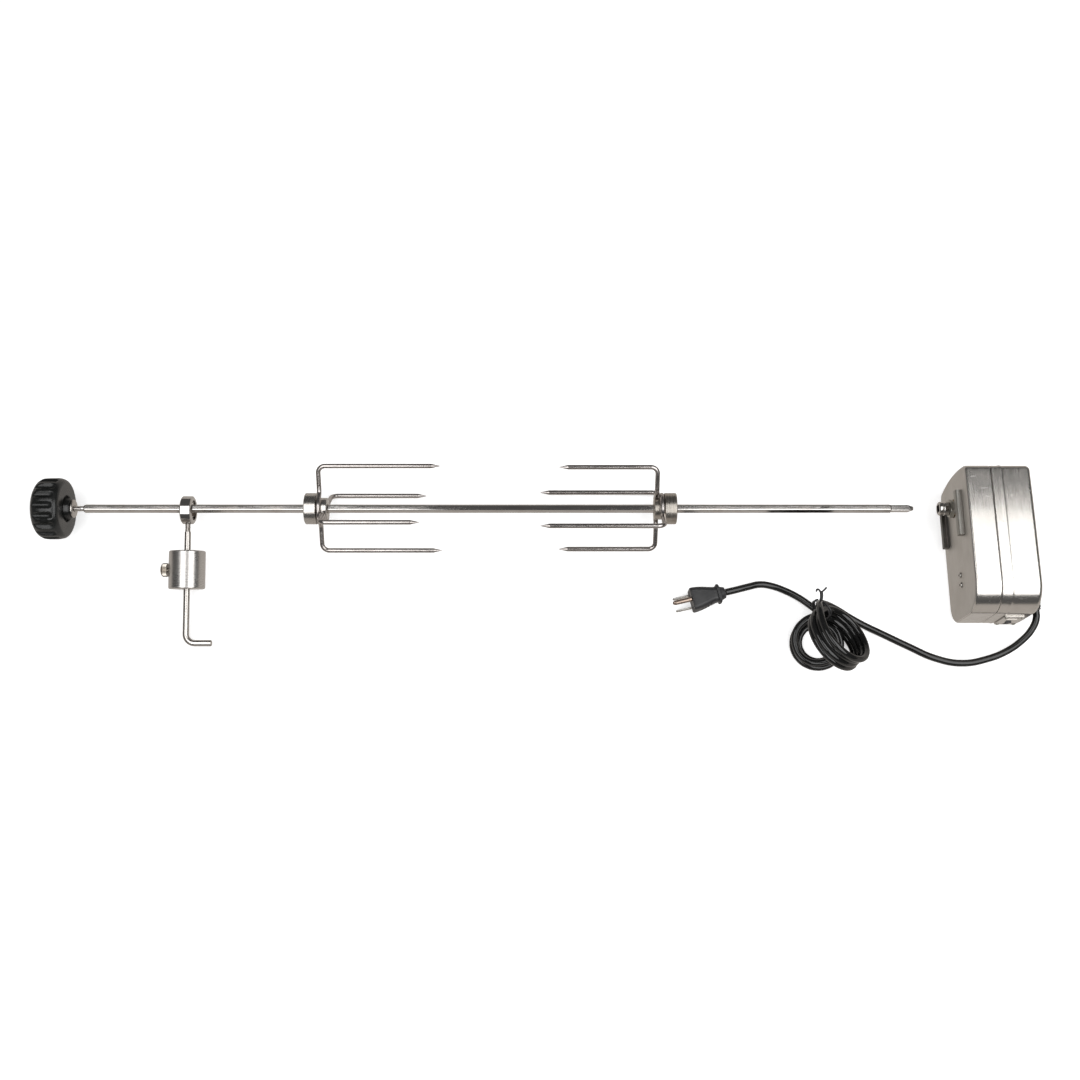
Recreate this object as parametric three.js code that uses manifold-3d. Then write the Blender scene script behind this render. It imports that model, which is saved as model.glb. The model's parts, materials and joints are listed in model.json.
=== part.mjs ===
// Rotisserie kit for a grill: a hexagonal spit rod with two four-tine forks, a swinging
// counterweight and a screw-on handle, laid out beside the gear motor that turns it.
// Millimetres, +Z up. The spit lies along X with the motor at its +X end, and the kit rests
// on the plane Z = 0. Below, Y = 0 is the plane of the spit axis until the last lines.

import * as THREE from "three";
import { mergeVertices } from "three/addons/utils/BufferGeometryUtils.js";
import Module from "manifold-3d";

const wasm = await Module();
wasm.setup();

// ---------- driving dimensions ----------

const GAP = 0.3; // space between neighbouring pieces
const SPIT_HEIGHT = 39; // spit axis above the table

const ROD = { flats: 7.94, start: -459, end: 352, neckR: 2.8, threadEnd: -486 };
const TIP = { square: 6.5, end: 375.5, point: 5.5, pointHalf: 1.5 };
const KNOB = { x0: -508, x1: -476, r: 31, flutes: 18, flute: 2.6, dome: 5 };
const KNOB_FACE = { recessR: 13, recess: 3, bossR: 10.2, bossEnd: -471 };
const INSERT = { x0: -488, x1: -468, r: 7, flangeR: 9.2 };

const RING = { x: -355.5, width: 11.7, outerR: 14.25, innerR: 10, drop: 5.1 };
const ARM = { slope: 11.75, r: 3.175, threadR: 2.8, start: 10.4, shoulder: 22 };
const ARM_FOOT = { down: 134, bend: 9, out: 26 };
const WEIGHT = { centre: 60.5, length: 38.5, r: 18, boreR: 3.5 };
const WEIGHT_SCREW = { shankR: 2.5, headR: 7, headStart: 19, headEnd: 26 };

const FORK = { leftX: -236, rightX: 137, hubR: 15.8, hubLength: 12, spigotR: 11, length: 22.5, boreR: 5 };
const WIRE = { r: 2.38, circle: 44.5, bend: 7, wrap: 13.75, point: 9, pointR: 0.35 };
const LONG_TINE = 122;
const SHORT_TINE = 98.5;
const FORK_SCREW = { shankR: 2, headR: 5, headStart: 18.5, headEnd: 27 };

const BOX = { x0: 416.3, x1: 481.3, y0: -112.6, y1: 34.5, z0: 0, z1: 84, wall: 1.2 };
// Radii of the -Y corners, the +Y corners and the bulging +Y end, whose middle is at crownZ.
const OUTLINE = { nearTop: 28, nearBase: 18, farCorner: 9, crown: 160, crownZ: 52 };
const SEAM_X = 441.9; // where the front and rear shells meet
const FRONT_EDGE = 3; // rounding of the front rim
const REAR_EDGE = 4.5; // rounding of the rear rim

const SOCKET = { mouth: 400.8, r: 7, neck: 411, hole: 7.3, holeEnd: 423 };
const SHAFT = { r: 6.5, step: 437, end: 446, journalR: 4 };
const LOCK_NUT = { x: [411.3, 415.6], r: 9.6 };
const BUSHING = { x: [415.9, 424], r: 9 };
const MOUTH_R = 9.4; // hole in the front face for the bushing
const RAIL = { x0: 410.5, y0: -35, y1: 11, spread: 27, sheet: 1.4, lip: 5.5 };

const GEAR = { module: 1, backlash: 0.5 };
const OUTPUT_TEETH = 48;
const IDLER_TEETH = 36;
const PINION_TEETH = 12;
const IDLER_Y = -(OUTPUT_TEETH + PINION_TEETH) / 2 * GEAR.module;
const ROTOR_Y = IDLER_Y - (IDLER_TEETH + PINION_TEETH) / 2 * GEAR.module;
const OUTPUT_GEAR_X = [428, 436];
const IDLER_GEAR_X = [437.5, 441.5];

const PLATE = { front: [419, 421], rear: [443, 445], y0: -88, y1: 25.5, z0: 10, z1: 74 };
const POST_PLACES = [[20, 15], [20, 69], [-82, 15], [-82, 69]];
const FACE_SCREWS = [[-70, 42], [-80, 42]];
const SHELL_SCREWS = [[14, 39], [-80, 66]];
const SCREW_R = 1.6;
const SCREW_HOLE_R = 1.9;
const IDLER_PIN_R = 3;

const CORE = { x0: 452, x1: 468, y0: -90, y1: -36, z0: 20, z1: 58, limb: 8, window: 13 };
const ROTOR = { r: 11, x0: 451, x1: 469, shaftR: 1.6, shaft: [436.8, 475.8] };
const COIL_BOBBIN = { winding: 4.3, z0: 26.5, z1: 51.5 };
const STATOR_SCREWS = [[-41, 23.5], [-41, 54.5]];
const BRACKET = { x0: 475, x1: 476.5, y0: -66, y1: -36 };

const SWITCH = { x: 464, z: 23.5, plate: [453.5, 475, 15.5, 48], rocker: [5, 12] };
const SWITCH_BODY = { half: 5, halfHeight: 7, depth: 11.6 };

const RELIEF = { y: -72, z: 22, x: 495, end: -100, r: 6.5, tipR: 4.8 };
const RELIEF_STUB = { start: 477.9, r: 5, collarR: 8.5, collar: 3 };
const CORD_R = 3.5;

// Cord from the strain relief to the coil, and from the coil to the plug.
const MOTOR_RUN = [
  [495, -100.8, 22], [494.8, -109, 21.2], [490.5, -119.5, 17.4], [481, -130, 12.4], [467, -139.5, 7.8],
  [449, -146.5, 4.7], [422, -151, 3.8], [396, -146, 3.8], [370, -134, 3.8], [344, -121, 3.8],
  [326, -112, 4], [312, -104.5, 6], [299, -98, 11.5], [285, -94, 20],
];
const PLUG_RUN = [
  [284, -100.4, 3.8], [274, -92, 3.8], [262, -83.3, 3.8], [249, -76.4, 3.8], [236, -71.6, 3.9],
  [224, -70.1, 5], [211.5, -73.2, 7.8], [199.5, -76.8, 10.4], [188, -79.7, 11],
];
const TIE = [[281.5, -92.5, 29], [279, -88, 31.5], [275.5, -85, 36], [279, -81, 40]];
const TIE_R = 1.3;
const COIL = { flat: [278, -131], flatIn: 15, flatOut: 27.5, flatHeight: 14 };
const LEAN = { centre: [293, -129.8, 32], inner: 26, outer: 33.8, width: 27, azimuth: 35.3, tilt: 45.5 };
const PLUG = { face: [152.6, -88.3], z: 11, turn: 13.5, width: 23.5, height: 21, block: 15 };
const PLUG_NECK = { length: 35.2, r: 5.4 };
const BLADE = { spacing: 12.7, drop: 5, length: 17, height: 6.3, thickness: 1.5 };
const GROUND = { rise: 6.9, r: 2.4, length: 20 };

const DEG = Math.PI / 180;

// ---------- materials ----------

function finish(color, roughness, metalness) {
  return new THREE.MeshStandardMaterial({ color, roughness, metalness });
}

const CHROME = [0xc9c9cb, 0.15, 1];
const STEEL = [0xa9a7a3, 0.35, 1];
const ZINC = [0xb9b7ad, 0.45, 1];
const BRASS = [0xb08d4a, 0.35, 1];
const COPPER = [0xa35a2c, 0.4, 1];
const IRON = [0x55565a, 0.5, 1];
const NYLON = [0xe6e2d4, 0.5, 0];
const BLACK_PLASTIC = [0x1d1e1f, 0.45, 0];
const RUBBER = [0x161616, 0.6, 0];

// ---------- solid helpers ----------

// A closed three.js geometry as a manifold solid, for cutting and joining.
function solidOf(geometry) {
  const bare = geometry.clone();
  bare.deleteAttribute("normal");
  bare.deleteAttribute("uv");
  const merged = mergeVertices(bare, 1e-3);
  const triVerts = [];
  for (let i = 0; i < merged.index.count; i += 3) {
    const corners = [0, 1, 2].map((k) => merged.index.getX(i + k));
    if (new Set(corners).size === 3) triVerts.push(...corners);
  }
  const vertProperties = Float32Array.from(merged.attributes.position.array);
  const mesh = new wasm.Mesh({ numProp: 3, vertProperties, triVerts: Uint32Array.from(triVerts) });
  return new wasm.Manifold(mesh);
}

function geometryOf(solid) {
  const mesh = solid.getMesh();
  const geometry = new THREE.BufferGeometry();
  geometry.setAttribute("position", new THREE.Float32BufferAttribute(mesh.vertProperties, 3));
  geometry.setIndex(Array.from(mesh.triVerts));
  geometry.computeVertexNormals();
  return geometry;
}

function join(...geometries) {
  return geometryOf(geometries.map(solidOf).reduce((sum, next) => sum.add(next)));
}

function cut(geometry, ...tools) {
  return geometryOf(tools.map(solidOf).reduce((rest, tool) => rest.subtract(tool), solidOf(geometry)));
}

function common(a, b) {
  return geometryOf(solidOf(a).intersect(solidOf(b)));
}

// Lays a shape drawn in (y, z) and extruded along its normal so that the normal is +X.
const ALONG_X = new THREE.Matrix4().makeBasis(
  new THREE.Vector3(0, 1, 0), new THREE.Vector3(0, 0, 1), new THREE.Vector3(1, 0, 0));

// An outline in the YZ plane, extruded from x0 to x1 with optional rounded rims.
function barX(shape, x0, x1, rim = 0, segments = 2) {
  const options = { depth: x1 - x0 - 2 * rim, bevelEnabled: rim > 0, bevelThickness: rim, bevelSize: rim,
    bevelOffset: -rim, bevelSegments: segments, curveSegments: 4 };
  return new THREE.ExtrudeGeometry(shape, options).translate(0, 0, x0 + rim).applyMatrix4(ALONG_X);
}

function cylinderX(r, x0, x1, y = 0, z = 0, sides = 24) {
  const geometry = new THREE.CylinderGeometry(r, r, x1 - x0, sides);
  return geometry.rotateZ(-Math.PI / 2).translate((x0 + x1) / 2, y, z);
}

// A profile of [x, radius] pairs turned about the X axis.
function turnedX(profile, sides = 32) {
  const points = profile.map(([x, r]) => new THREE.Vector2(r, x));
  return new THREE.LatheGeometry(points, sides).rotateZ(-Math.PI / 2);
}

function block(x0, x1, y0, y1, z0, z1) {
  const box = new THREE.BoxGeometry(x1 - x0, y1 - y0, z1 - z0);
  return box.translate((x0 + x1) / 2, (y0 + y1) / 2, (z0 + z1) / 2);
}

function polygon(count, radius, firstAngle = 0) {
  const shape = new THREE.Shape();
  for (let i = 0; i < count; i++) {
    const angle = firstAngle + (i * 2 * Math.PI) / count;
    shape[i ? "lineTo" : "moveTo"](radius * Math.cos(angle), radius * Math.sin(angle));
  }
  return shape;
}

function roundedRectangle(y0, y1, z0, z1, r) {
  const shape = new THREE.Shape();
  shape.moveTo(y0 + r, z0);
  shape.lineTo(y1 - r, z0).absarc(y1 - r, z0 + r, r, -Math.PI / 2, 0);
  shape.lineTo(y1, z1 - r).absarc(y1 - r, z1 - r, r, 0, Math.PI / 2);
  shape.lineTo(y0 + r, z1).absarc(y0 + r, z1 - r, r, Math.PI / 2, Math.PI);
  shape.lineTo(y0, z0 + r).absarc(y0 + r, z0 + r, r, Math.PI, Math.PI * 1.5);
  return shape;
}

// The housing's outline shrunk by inset: its +Y end bulges on a large radius that runs
// smoothly into the corners.
function housingOutline(inset) {
  const nearTop = OUTLINE.nearTop - inset;
  const nearBase = OUTLINE.nearBase - inset;
  const far = OUTLINE.farCorner - inset;
  const crown = OUTLINE.crown - inset;
  const [y0, y1, z0, z1] = [BOX.y0 + inset, BOX.y1 - inset, BOX.z0 + inset, BOX.z1 - inset];
  const crownY = y1 - crown;
  const reach = crown - far;
  const low = Math.asin((OUTLINE.crownZ - z0 - far) / reach);
  const high = Math.asin((z1 - far - OUTLINE.crownZ) / reach);
  const lowY = crownY + reach * Math.cos(low);
  const highY = crownY + reach * Math.cos(high);
  const shape = new THREE.Shape();
  shape.moveTo(y0 + nearBase, z0);
  shape.lineTo(lowY, z0).absarc(lowY, z0 + far, far, -Math.PI / 2, -low);
  shape.absarc(crownY, OUTLINE.crownZ, crown, -low, high);
  shape.absarc(highY, z1 - far, far, high, Math.PI / 2);
  shape.lineTo(y0 + nearTop, z1);
  shape.absarc(y0 + nearTop, z1 - nearTop, nearTop, Math.PI / 2, Math.PI);
  shape.lineTo(y0, z0 + nearBase);
  shape.absarc(y0 + nearBase, z0 + nearBase, nearBase, Math.PI, Math.PI * 1.5);
  return shape;
}

// A path through chosen stations, so that a sweep puts its rings exactly there.
class StationPath extends THREE.Curve {
  constructor(stations) {
    super();
    this.stations = stations;
  }
  getPoint(t) {
    const place = Math.min(Math.max(t, 0), 1) * (this.stations.length - 1);
    const i = Math.min(Math.floor(place), this.stations.length - 2);
    return this.stations[i].clone().lerp(this.stations[i + 1], place - i);
  }
  getUtoTmapping(u) {
    return u;
  }
  getTangent(t) {
    const i = Math.round(t * (this.stations.length - 1));
    const here = this.stations[i];
    const tangent = new THREE.Vector3();
    if (i > 0) tangent.add(here.clone().sub(this.stations[i - 1]).normalize());
    if (i < this.stations.length - 1) tangent.add(this.stations[i + 1].clone().sub(here).normalize());
    return tangent.normalize();
  }
}

function sweep(stations, radius, sides = 8) {
  const path = new StationPath(stations.map((p) => new THREE.Vector3(...p)));
  const options = { steps: stations.length - 1, extrudePath: path, bevelEnabled: false };
  return new THREE.ExtrudeGeometry(polygon(sides, radius), options);
}

// Stations on a smooth curve through hand-set points, evenly spaced.
function smooth(points, steps) {
  const curve = new THREE.CatmullRomCurve3(points.map((p) => new THREE.Vector3(...p)), false, "centripetal");
  return curve.getSpacedPoints(steps).map((p) => p.toArray());
}

// ---------- the scene graph ----------

const kit = new THREE.Group();
const spitLine = new THREE.Group();
spitLine.position.z = SPIT_HEIGHT;
kit.add(spitLine);

function place(parent, name, geometry, look) {
  const mesh = new THREE.Mesh(geometry, finish(...look));
  mesh.name = name;
  parent.add(mesh);
  return mesh;
}

// ---------- spit rod and handle ----------

function spitRod() {
  const across = ROD.flats / Math.sqrt(3);
  const bar = barX(polygon(6, across), ROD.start, ROD.end);
  const thread = turnedX([[ROD.threadEnd, 0], [ROD.threadEnd, ROD.neckR - 0.5],
    [ROD.threadEnd + 1, ROD.neckR], [ROD.start + 1, ROD.neckR], [ROD.start + 1, 0]], 20);
  const half = TIP.square / 2;
  const square = block(ROD.end - 1, TIP.end - TIP.point, -half, half, -half, half);
  const point = new THREE.CylinderGeometry(TIP.pointHalf * Math.SQRT2, half * Math.SQRT2, TIP.point, 4, 1);
  point.rotateY(Math.PI / 4).rotateZ(-Math.PI / 2).translate(TIP.end - TIP.point / 2, 0, 0);
  const endBar = barX(polygon(6, across), ROD.end - 1, TIP.end);
  return join(bar, thread, common(join(square, point), endBar));
}

function flutedOutline() {
  const shape = new THREE.Shape();
  const perFlute = 4;
  const count = KNOB.flutes * perFlute;
  for (let i = 0; i < count; i++) {
    const angle = (i * 2 * Math.PI) / count;
    const dip = Math.max(0, Math.cos(KNOB.flutes * angle)) * KNOB.flute;
    shape[i ? "lineTo" : "moveTo"]((KNOB.r - dip) * Math.cos(angle), (KNOB.r - dip) * Math.sin(angle));
  }
  return shape;
}

function handleKnob() {
  const { x0, x1, r, dome } = KNOB;
  const round = turnedX([[x0, 0], [x0, r - dome], [x0 + dome, r], [x1 - dome, r], [x1, r - dome],
    [x1, 0]], 36);
  const body = common(barX(flutedOutline(), x0 - 1, x1 + 1), round);
  const floor = x1 - KNOB_FACE.recess;
  const recess = cylinderX(KNOB_FACE.recessR, floor, x1 + 1);
  const boss = cylinderX(KNOB_FACE.bossR, floor - 1, KNOB_FACE.bossEnd);
  const bore = cylinderX(INSERT.r + GAP, INSERT.x0 - GAP, KNOB_FACE.bossEnd + 1);
  return cut(join(cut(body, recess), boss), bore);
}

// A threaded sleeve whose flange rests on the knob's boss.
function knobInsert() {
  const { x0, x1, r, flangeR } = INSERT;
  const bore = ROD.neckR + GAP;
  const seat = KNOB_FACE.bossEnd + GAP;
  return turnedX([[x0, bore], [x0, r], [seat, r], [seat, flangeR], [x1 - 0.8, flangeR],
    [x1, flangeR - 0.8], [x1, bore], [x0, bore]], 20);
}

place(spitLine, "spit_rod", spitRod(), CHROME);
place(spitLine, "handle_knob", handleKnob(), BLACK_PLASTIC);
place(spitLine, "knob_insert", knobInsert(), BRASS);

// ---------- counterbalance ----------

// The arm's own frame has its origin at the ring's centre and the bar along -Y.
const balance = new THREE.Group();
balance.position.set(RING.x, 0, -RING.drop);
balance.rotation.x = ARM.slope * DEG;
spitLine.add(balance);

function balanceRing() {
  const half = RING.width / 2;
  const bevel = 1.2;
  const ring = turnedX([[-half, RING.innerR], [-half, RING.outerR - bevel], [bevel - half, RING.outerR],
    [half - bevel, RING.outerR], [half, RING.outerR - bevel], [half, RING.innerR],
    [-half, RING.innerR]], 28);
  const tapped = new THREE.CylinderGeometry(ARM.threadR + GAP, ARM.threadR + GAP, RING.outerR, 12);
  return cut(ring, tapped.translate(0, -RING.outerR, 0));
}

function balanceRod() {
  const { down, bend, out } = ARM_FOOT;
  const turn = [];
  for (let angle = 0; angle <= 90; angle += 15) {
    const a = angle * DEG;
    turn.push([bend * (1 - Math.cos(a)), bend - down - bend * Math.sin(a), 0]);
  }
  const bar = sweep([[0, -ARM.shoulder, 0], ...turn, [out, -down, 0]], ARM.r, 16);
  const length = ARM.shoulder + 1 - ARM.start;
  const thread = new THREE.CylinderGeometry(ARM.threadR, ARM.threadR, length, 16);
  return join(bar, thread.translate(0, -ARM.start - length / 2, 0));
}

function balanceWeight() {
  const cylinder = new THREE.CylinderGeometry(WEIGHT.r, WEIGHT.r, WEIGHT.length, 48);
  const bore = new THREE.CylinderGeometry(WEIGHT.boreR, WEIGHT.boreR, WEIGHT.length + 2, 20);
  const tapped = cylinderX(WEIGHT_SCREW.shankR + GAP, -WEIGHT.r - 1, 0, 0, 0, 20);
  return cut(cylinder, bore, tapped).translate(0, -WEIGHT.centre, 0);
}

function weightScrew() {
  const { shankR, headR, headStart, headEnd } = WEIGHT_SCREW;
  const profile = [[-headEnd, 0], [-headEnd, headR - 3], [1.5 - headEnd, headR - 0.8],
    [3 - headEnd, headR], [-headStart, headR], [-headStart, shankR], [-WEIGHT.boreR - GAP, shankR],
    [-WEIGHT.boreR - GAP, 0]];
  return turnedX(profile, 24).translate(0, -WEIGHT.centre, 0);
}

place(balance, "balance_ring", balanceRing(), CHROME);
place(balance, "balance_rod", balanceRod(), STEEL);
place(balance, "balance_weight", balanceWeight(), STEEL);
place(balance, "weight_thumbscrew", weightScrew(), STEEL);

// ---------- forks ----------

function forkHub() {
  const { hubR, hubLength, spigotR, length, boreR } = FORK;
  const hub = turnedX([[0, boreR], [0, hubR], [hubLength, hubR], [hubLength, spigotR],
    [length, spigotR], [length, boreR], [0, boreR]], 28);
  const holeR = FORK_SCREW.shankR + GAP;
  const tapped = new THREE.CylinderGeometry(holeR, holeR, hubR, 10).rotateX(Math.PI / 2);
  return cut(hub, tapped.translate(hubLength / 2, 0, -(boreR + hubR) / 2));
}

// One spike, as stations from the tip of its straight part to the hub, in the plane of
// its leg: u along the leg, x along the spit.
function spikeStations(plane, tip) {
  const stations = [[tip, WIRE.circle]];
  for (let angle = 0; angle <= 90; angle += 22.5) {
    const a = angle * DEG;
    stations.push([plane + WIRE.bend * (1 - Math.sin(a)), WIRE.circle - WIRE.bend * (1 - Math.cos(a))]);
  }
  return stations;
}

// A pair of spikes bent from one wire that wraps half round the spigot.
function tinePair(plane, length, angle) {
  const tip = plane + length - WIRE.point;
  const turnIn = [[plane, 23, 0], [plane, 17.8, 0.5], [plane, 14.6, 3.2]];
  const wrap = [];
  for (let a = 30; a <= 150; a += 24) {
    wrap.push([plane, WIRE.wrap * Math.cos(a * DEG), WIRE.wrap * Math.sin(a * DEG)]);
  }
  const spike = spikeStations(plane, tip).map(([x, u]) => [x, u, 0]);
  const half = [...spike, ...turnIn];
  const other = half.map(([x, u, v]) => [x, -u, v]).reverse();
  const wire = sweep([...half, ...wrap, ...other], WIRE.r, 8);
  const points = [1, -1].map((side) => {
    const cone = new THREE.CylinderGeometry(WIRE.pointR, WIRE.r - 0.1, WIRE.point + 0.5, 8);
    return cone.rotateZ(-Math.PI / 2).translate(tip + (WIRE.point - 0.5) / 2, side * WIRE.circle, 0);
  });
  return join(wire, ...points).rotateX(angle * DEG);
}

function forkScrew() {
  const { shankR, headR } = FORK_SCREW;
  const under = FORK_SCREW.headStart - FORK.boreR;
  const top = FORK_SCREW.headEnd - FORK.boreR;
  const points = [[0, 0], [shankR, 0], [shankR, under], [headR, under], [headR, top - 1],
    [headR - 1, top], [0, top]];
  const screw = new THREE.LatheGeometry(points.map(([r, y]) => new THREE.Vector2(r, y)), 12);
  return screw.rotateX(-Math.PI / 2).translate(FORK.hubLength / 2, 0, -FORK.boreR);
}

// The fork's own frame has its origin on the spit axis at the hub's outer face, and its
// spikes point along +X.
function makeFork(side, x, turned, longAngle, shortAngle) {
  const fork = new THREE.Group();
  fork.position.x = x;
  fork.rotation.z = turned ? Math.PI : 0;
  const longPlane = FORK.hubLength + GAP + WIRE.r;
  const shortPlane = longPlane + 2 * WIRE.r + GAP;
  place(fork, side + "_fork_hub", forkHub(), STEEL);
  place(fork, side + "_long_tines", tinePair(longPlane, LONG_TINE, longAngle), CHROME);
  place(fork, side + "_short_tines", tinePair(shortPlane, SHORT_TINE, shortAngle), CHROME);
  place(fork, side + "_fork_screw", forkScrew(), STEEL);
  spitLine.add(fork);
}

makeFork("left", FORK.leftX, false, 34.7, 124.7);
makeFork("right", FORK.rightX, true, 50.5, 140.5);

// ---------- motor housing ----------

const motor = new THREE.Group();
kit.add(motor);

// The housing's outline shrunk by inset, from x0 to x1, with a rounded rim at one end.
function housingBody(inset, x0, x1, rim, rimAtStart) {
  const start = rimAtStart ? x0 : x0 - 4 * rim;
  const end = rimAtStart ? x1 + 4 * rim : x1;
  const long = barX(housingOutline(inset), start, end, rim, 2);
  return common(long, block(x0, x1, BOX.y0, BOX.y1, BOX.z0, BOX.z1));
}

function screwHoles(places, x0, x1) {
  return places.map(([y, z]) => cylinderX(SCREW_HOLE_R, x0, x1, y, z, 10));
}

function frontShell() {
  const outer = housingBody(0, BOX.x0, SEAM_X - GAP / 2, FRONT_EDGE, true);
  const hollow = housingBody(BOX.wall, BOX.x0 + BOX.wall, SEAM_X + 1, FRONT_EDGE - BOX.wall, true);
  const mouth = cylinderX(MOUTH_R, BOX.x0 - 1, BOX.x0 + 3, 0, SPIT_HEIGHT, 20);
  return cut(outer, hollow, mouth, ...screwHoles(FACE_SCREWS, BOX.x0 - 1, BOX.x0 + 3));
}

function rearShell() {
  const outer = housingBody(0, SEAM_X + GAP / 2, BOX.x1, REAR_EDGE, false);
  const hollow = housingBody(BOX.wall, SEAM_X - 1, BOX.x1 - BOX.wall, REAR_EDGE - BOX.wall, false);
  const cordHole = cylinderX(RELIEF_STUB.r + 0.4, BOX.x1 - 3, BOX.x1 + 1, RELIEF.y, RELIEF.z);
  const [wide, tall] = SWITCH.rocker;
  const slot = block(SWITCH.x - wide / 2 - GAP, SWITCH.x + wide / 2 + GAP, BOX.y0 - 1, BOX.y0 + 3,
    SWITCH.z - tall / 2 - GAP, SWITCH.z + tall / 2 + GAP);
  return cut(outer, hollow, cordHole, slot, ...screwHoles(SHELL_SCREWS, BOX.x1 - 3, BOX.x1 + 1));
}

// An L-shaped strap on the front face, whose lips face each other across the socket.
function bracketRail(side) {
  const back = BOX.x0 - GAP;
  const root = side * RAIL.spread;
  const inward = root - side * RAIL.lip;
  const strip = (x0, x1, z0, z1) => block(x0, x1, RAIL.y0, RAIL.y1,
    SPIT_HEIGHT + Math.min(z0, z1), SPIT_HEIGHT + Math.max(z0, z1));
  const web = strip(RAIL.x0, back, root, root + side * RAIL.sheet);
  const lip = strip(RAIL.x0, RAIL.x0 + RAIL.sheet, inward, root + side * RAIL.sheet);
  const stop = block(RAIL.x0, back, RAIL.y0, RAIL.y0 + RAIL.sheet,
    SPIT_HEIGHT + Math.min(inward, root), SPIT_HEIGHT + Math.max(inward, root));
  return join(web, lip, stop);
}

function panHead(headR, height, length) {
  const profile = [[-height, 0], [-height, headR - 0.8], [0.6 - height, headR], [0, headR],
    [0, SCREW_R], [length, SCREW_R], [length, 0]];
  return turnedX(profile, 10);
}

place(motor, "front_shell", frontShell(), STEEL);
place(motor, "rear_shell", rearShell(), STEEL);
place(motor, "bracket_rail_upper", bracketRail(1), STEEL);
place(motor, "bracket_rail_lower", bracketRail(-1), STEEL);
FACE_SCREWS.forEach(([y, z], i) => {
  const screw = place(motor, "chassis_screw_" + (i + 1), panHead(3, 1.5, 4.6), ZINC);
  screw.position.set(BOX.x0 - GAP, y, z);
});
SHELL_SCREWS.forEach(([y, z], i) => {
  const screw = place(motor, "shell_screw_" + (i + 1), panHead(3.2, 1.8, 5), ZINC);
  screw.position.set(BOX.x1 + GAP, y, z);
  screw.rotation.y = Math.PI;
  const near = PLATE.rear[1] + GAP;
  const far = BOX.x1 - BOX.wall - GAP;
  const bore = SCREW_HOLE_R;
  const standoff = turnedX([[near, bore], [near, 3.4], [far, 3.4], [far, bore], [near, bore]], 12);
  place(motor, "shell_standoff_" + (i + 1), standoff, ZINC).position.set(0, y, z);
});

// ---------- drive: socket, bushing, gears ----------

function outputSocket() {
  const { mouth, r, neck, hole, holeEnd } = SOCKET;
  const { step, end, journalR } = SHAFT;
  const shaft = turnedX([[mouth, 0], [mouth, r - 0.8], [mouth + 0.8, r], [neck, r],
    [neck, SHAFT.r], [step, SHAFT.r], [step, journalR], [end, journalR], [end, 0]], 24);
  return cut(shaft, block(mouth - 1, holeEnd, -hole / 2, hole / 2, -hole / 2, hole / 2));
}

// A plate of the given outline with a running hole for a shaft.
function sleeveX(shape, shaftR, [x0, x1]) {
  return cut(barX(shape, x0, x1), cylinderX(shaftR + GAP, x0 - 1, x1 + 1, 0, 0, 20));
}

// A spur gear's outline with straight flanks, a tooth centred at firstAngle.
function gearOutline(teeth, firstAngle) {
  const pitchR = (teeth * GEAR.module) / 2;
  const rootR = pitchR - 1.2 * GEAR.module;
  const tipR = pitchR + 0.85 * GEAR.module;
  const pitchHalf = (Math.PI * GEAR.module / 2 - GEAR.backlash) / 2;
  const corners = [[rootR, -1.6], [tipR, -0.45], [tipR, 0.45], [rootR, 1.6]];
  const shape = new THREE.Shape();
  for (let tooth = 0; tooth < teeth; tooth++) {
    corners.forEach(([radius, part], i) => {
      const angle = firstAngle + (tooth * 2 * Math.PI) / teeth + (part * pitchHalf) / radius;
      shape[tooth || i ? "lineTo" : "moveTo"](radius * Math.cos(angle), radius * Math.sin(angle));
    });
  }
  return shape;
}

const pinionOutline = gearOutline(PINION_TEETH, Math.PI / PINION_TEETH);

function idlerGear() {
  const start = OUTPUT_GEAR_X[0];
  const end = IDLER_GEAR_X[1];
  const wheel = barX(gearOutline(IDLER_TEETH, 0), ...IDLER_GEAR_X);
  const bore = cylinderX(IDLER_PIN_R + GAP, start - 1, end + 1, 0, 0, 16);
  return cut(join(barX(pinionOutline, start, end), wheel), bore);
}

function idlerPin() {
  return cylinderX(IDLER_PIN_R, PLATE.front[0] + GAP, PLATE.rear[1] - GAP);
}

const drive = new THREE.Group();
drive.position.z = SPIT_HEIGHT;
motor.add(drive);
place(drive, "output_socket", outputSocket(), CHROME);
place(drive, "socket_nut", sleeveX(polygon(6, LOCK_NUT.r), SHAFT.r, LOCK_NUT.x), ZINC);
place(drive, "output_bushing", sleeveX(polygon(20, BUSHING.r), SHAFT.r, BUSHING.x), BRASS);
const outputGear = sleeveX(gearOutline(OUTPUT_TEETH, 0), SHAFT.r, OUTPUT_GEAR_X);
place(drive, "output_gear", outputGear, NYLON);
place(drive, "idler_gear", idlerGear(), NYLON).position.y = IDLER_Y;
place(drive, "idler_pin", idlerPin(), STEEL).position.y = IDLER_Y;
const motorPinion = sleeveX(pinionOutline, ROTOR.shaftR, IDLER_GEAR_X);
place(drive, "motor_pinion", motorPinion, BRASS).position.y = ROTOR_Y;

function rotor() {
  const { r, x0, x1, shaftR, shaft } = ROTOR;
  return turnedX([[shaft[0], 0], [shaft[0], shaftR], [x0, shaftR], [x0, r], [x1, r], [x1, shaftR],
    [shaft[1], shaftR], [shaft[1], 0]], 16);
}

place(drive, "rotor", rotor(), IRON).position.y = ROTOR_Y;

// ---------- gearbox frame and motor ----------

function gearPlate([x0, x1], holes) {
  const plate = block(x0, x1, PLATE.y0, PLATE.y1, PLATE.z0, PLATE.z1);
  return cut(plate, ...holes.map(([y, z, r]) => cylinderX(r, x0 - 1, x1 + 1, y, z, 14)));
}

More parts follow.
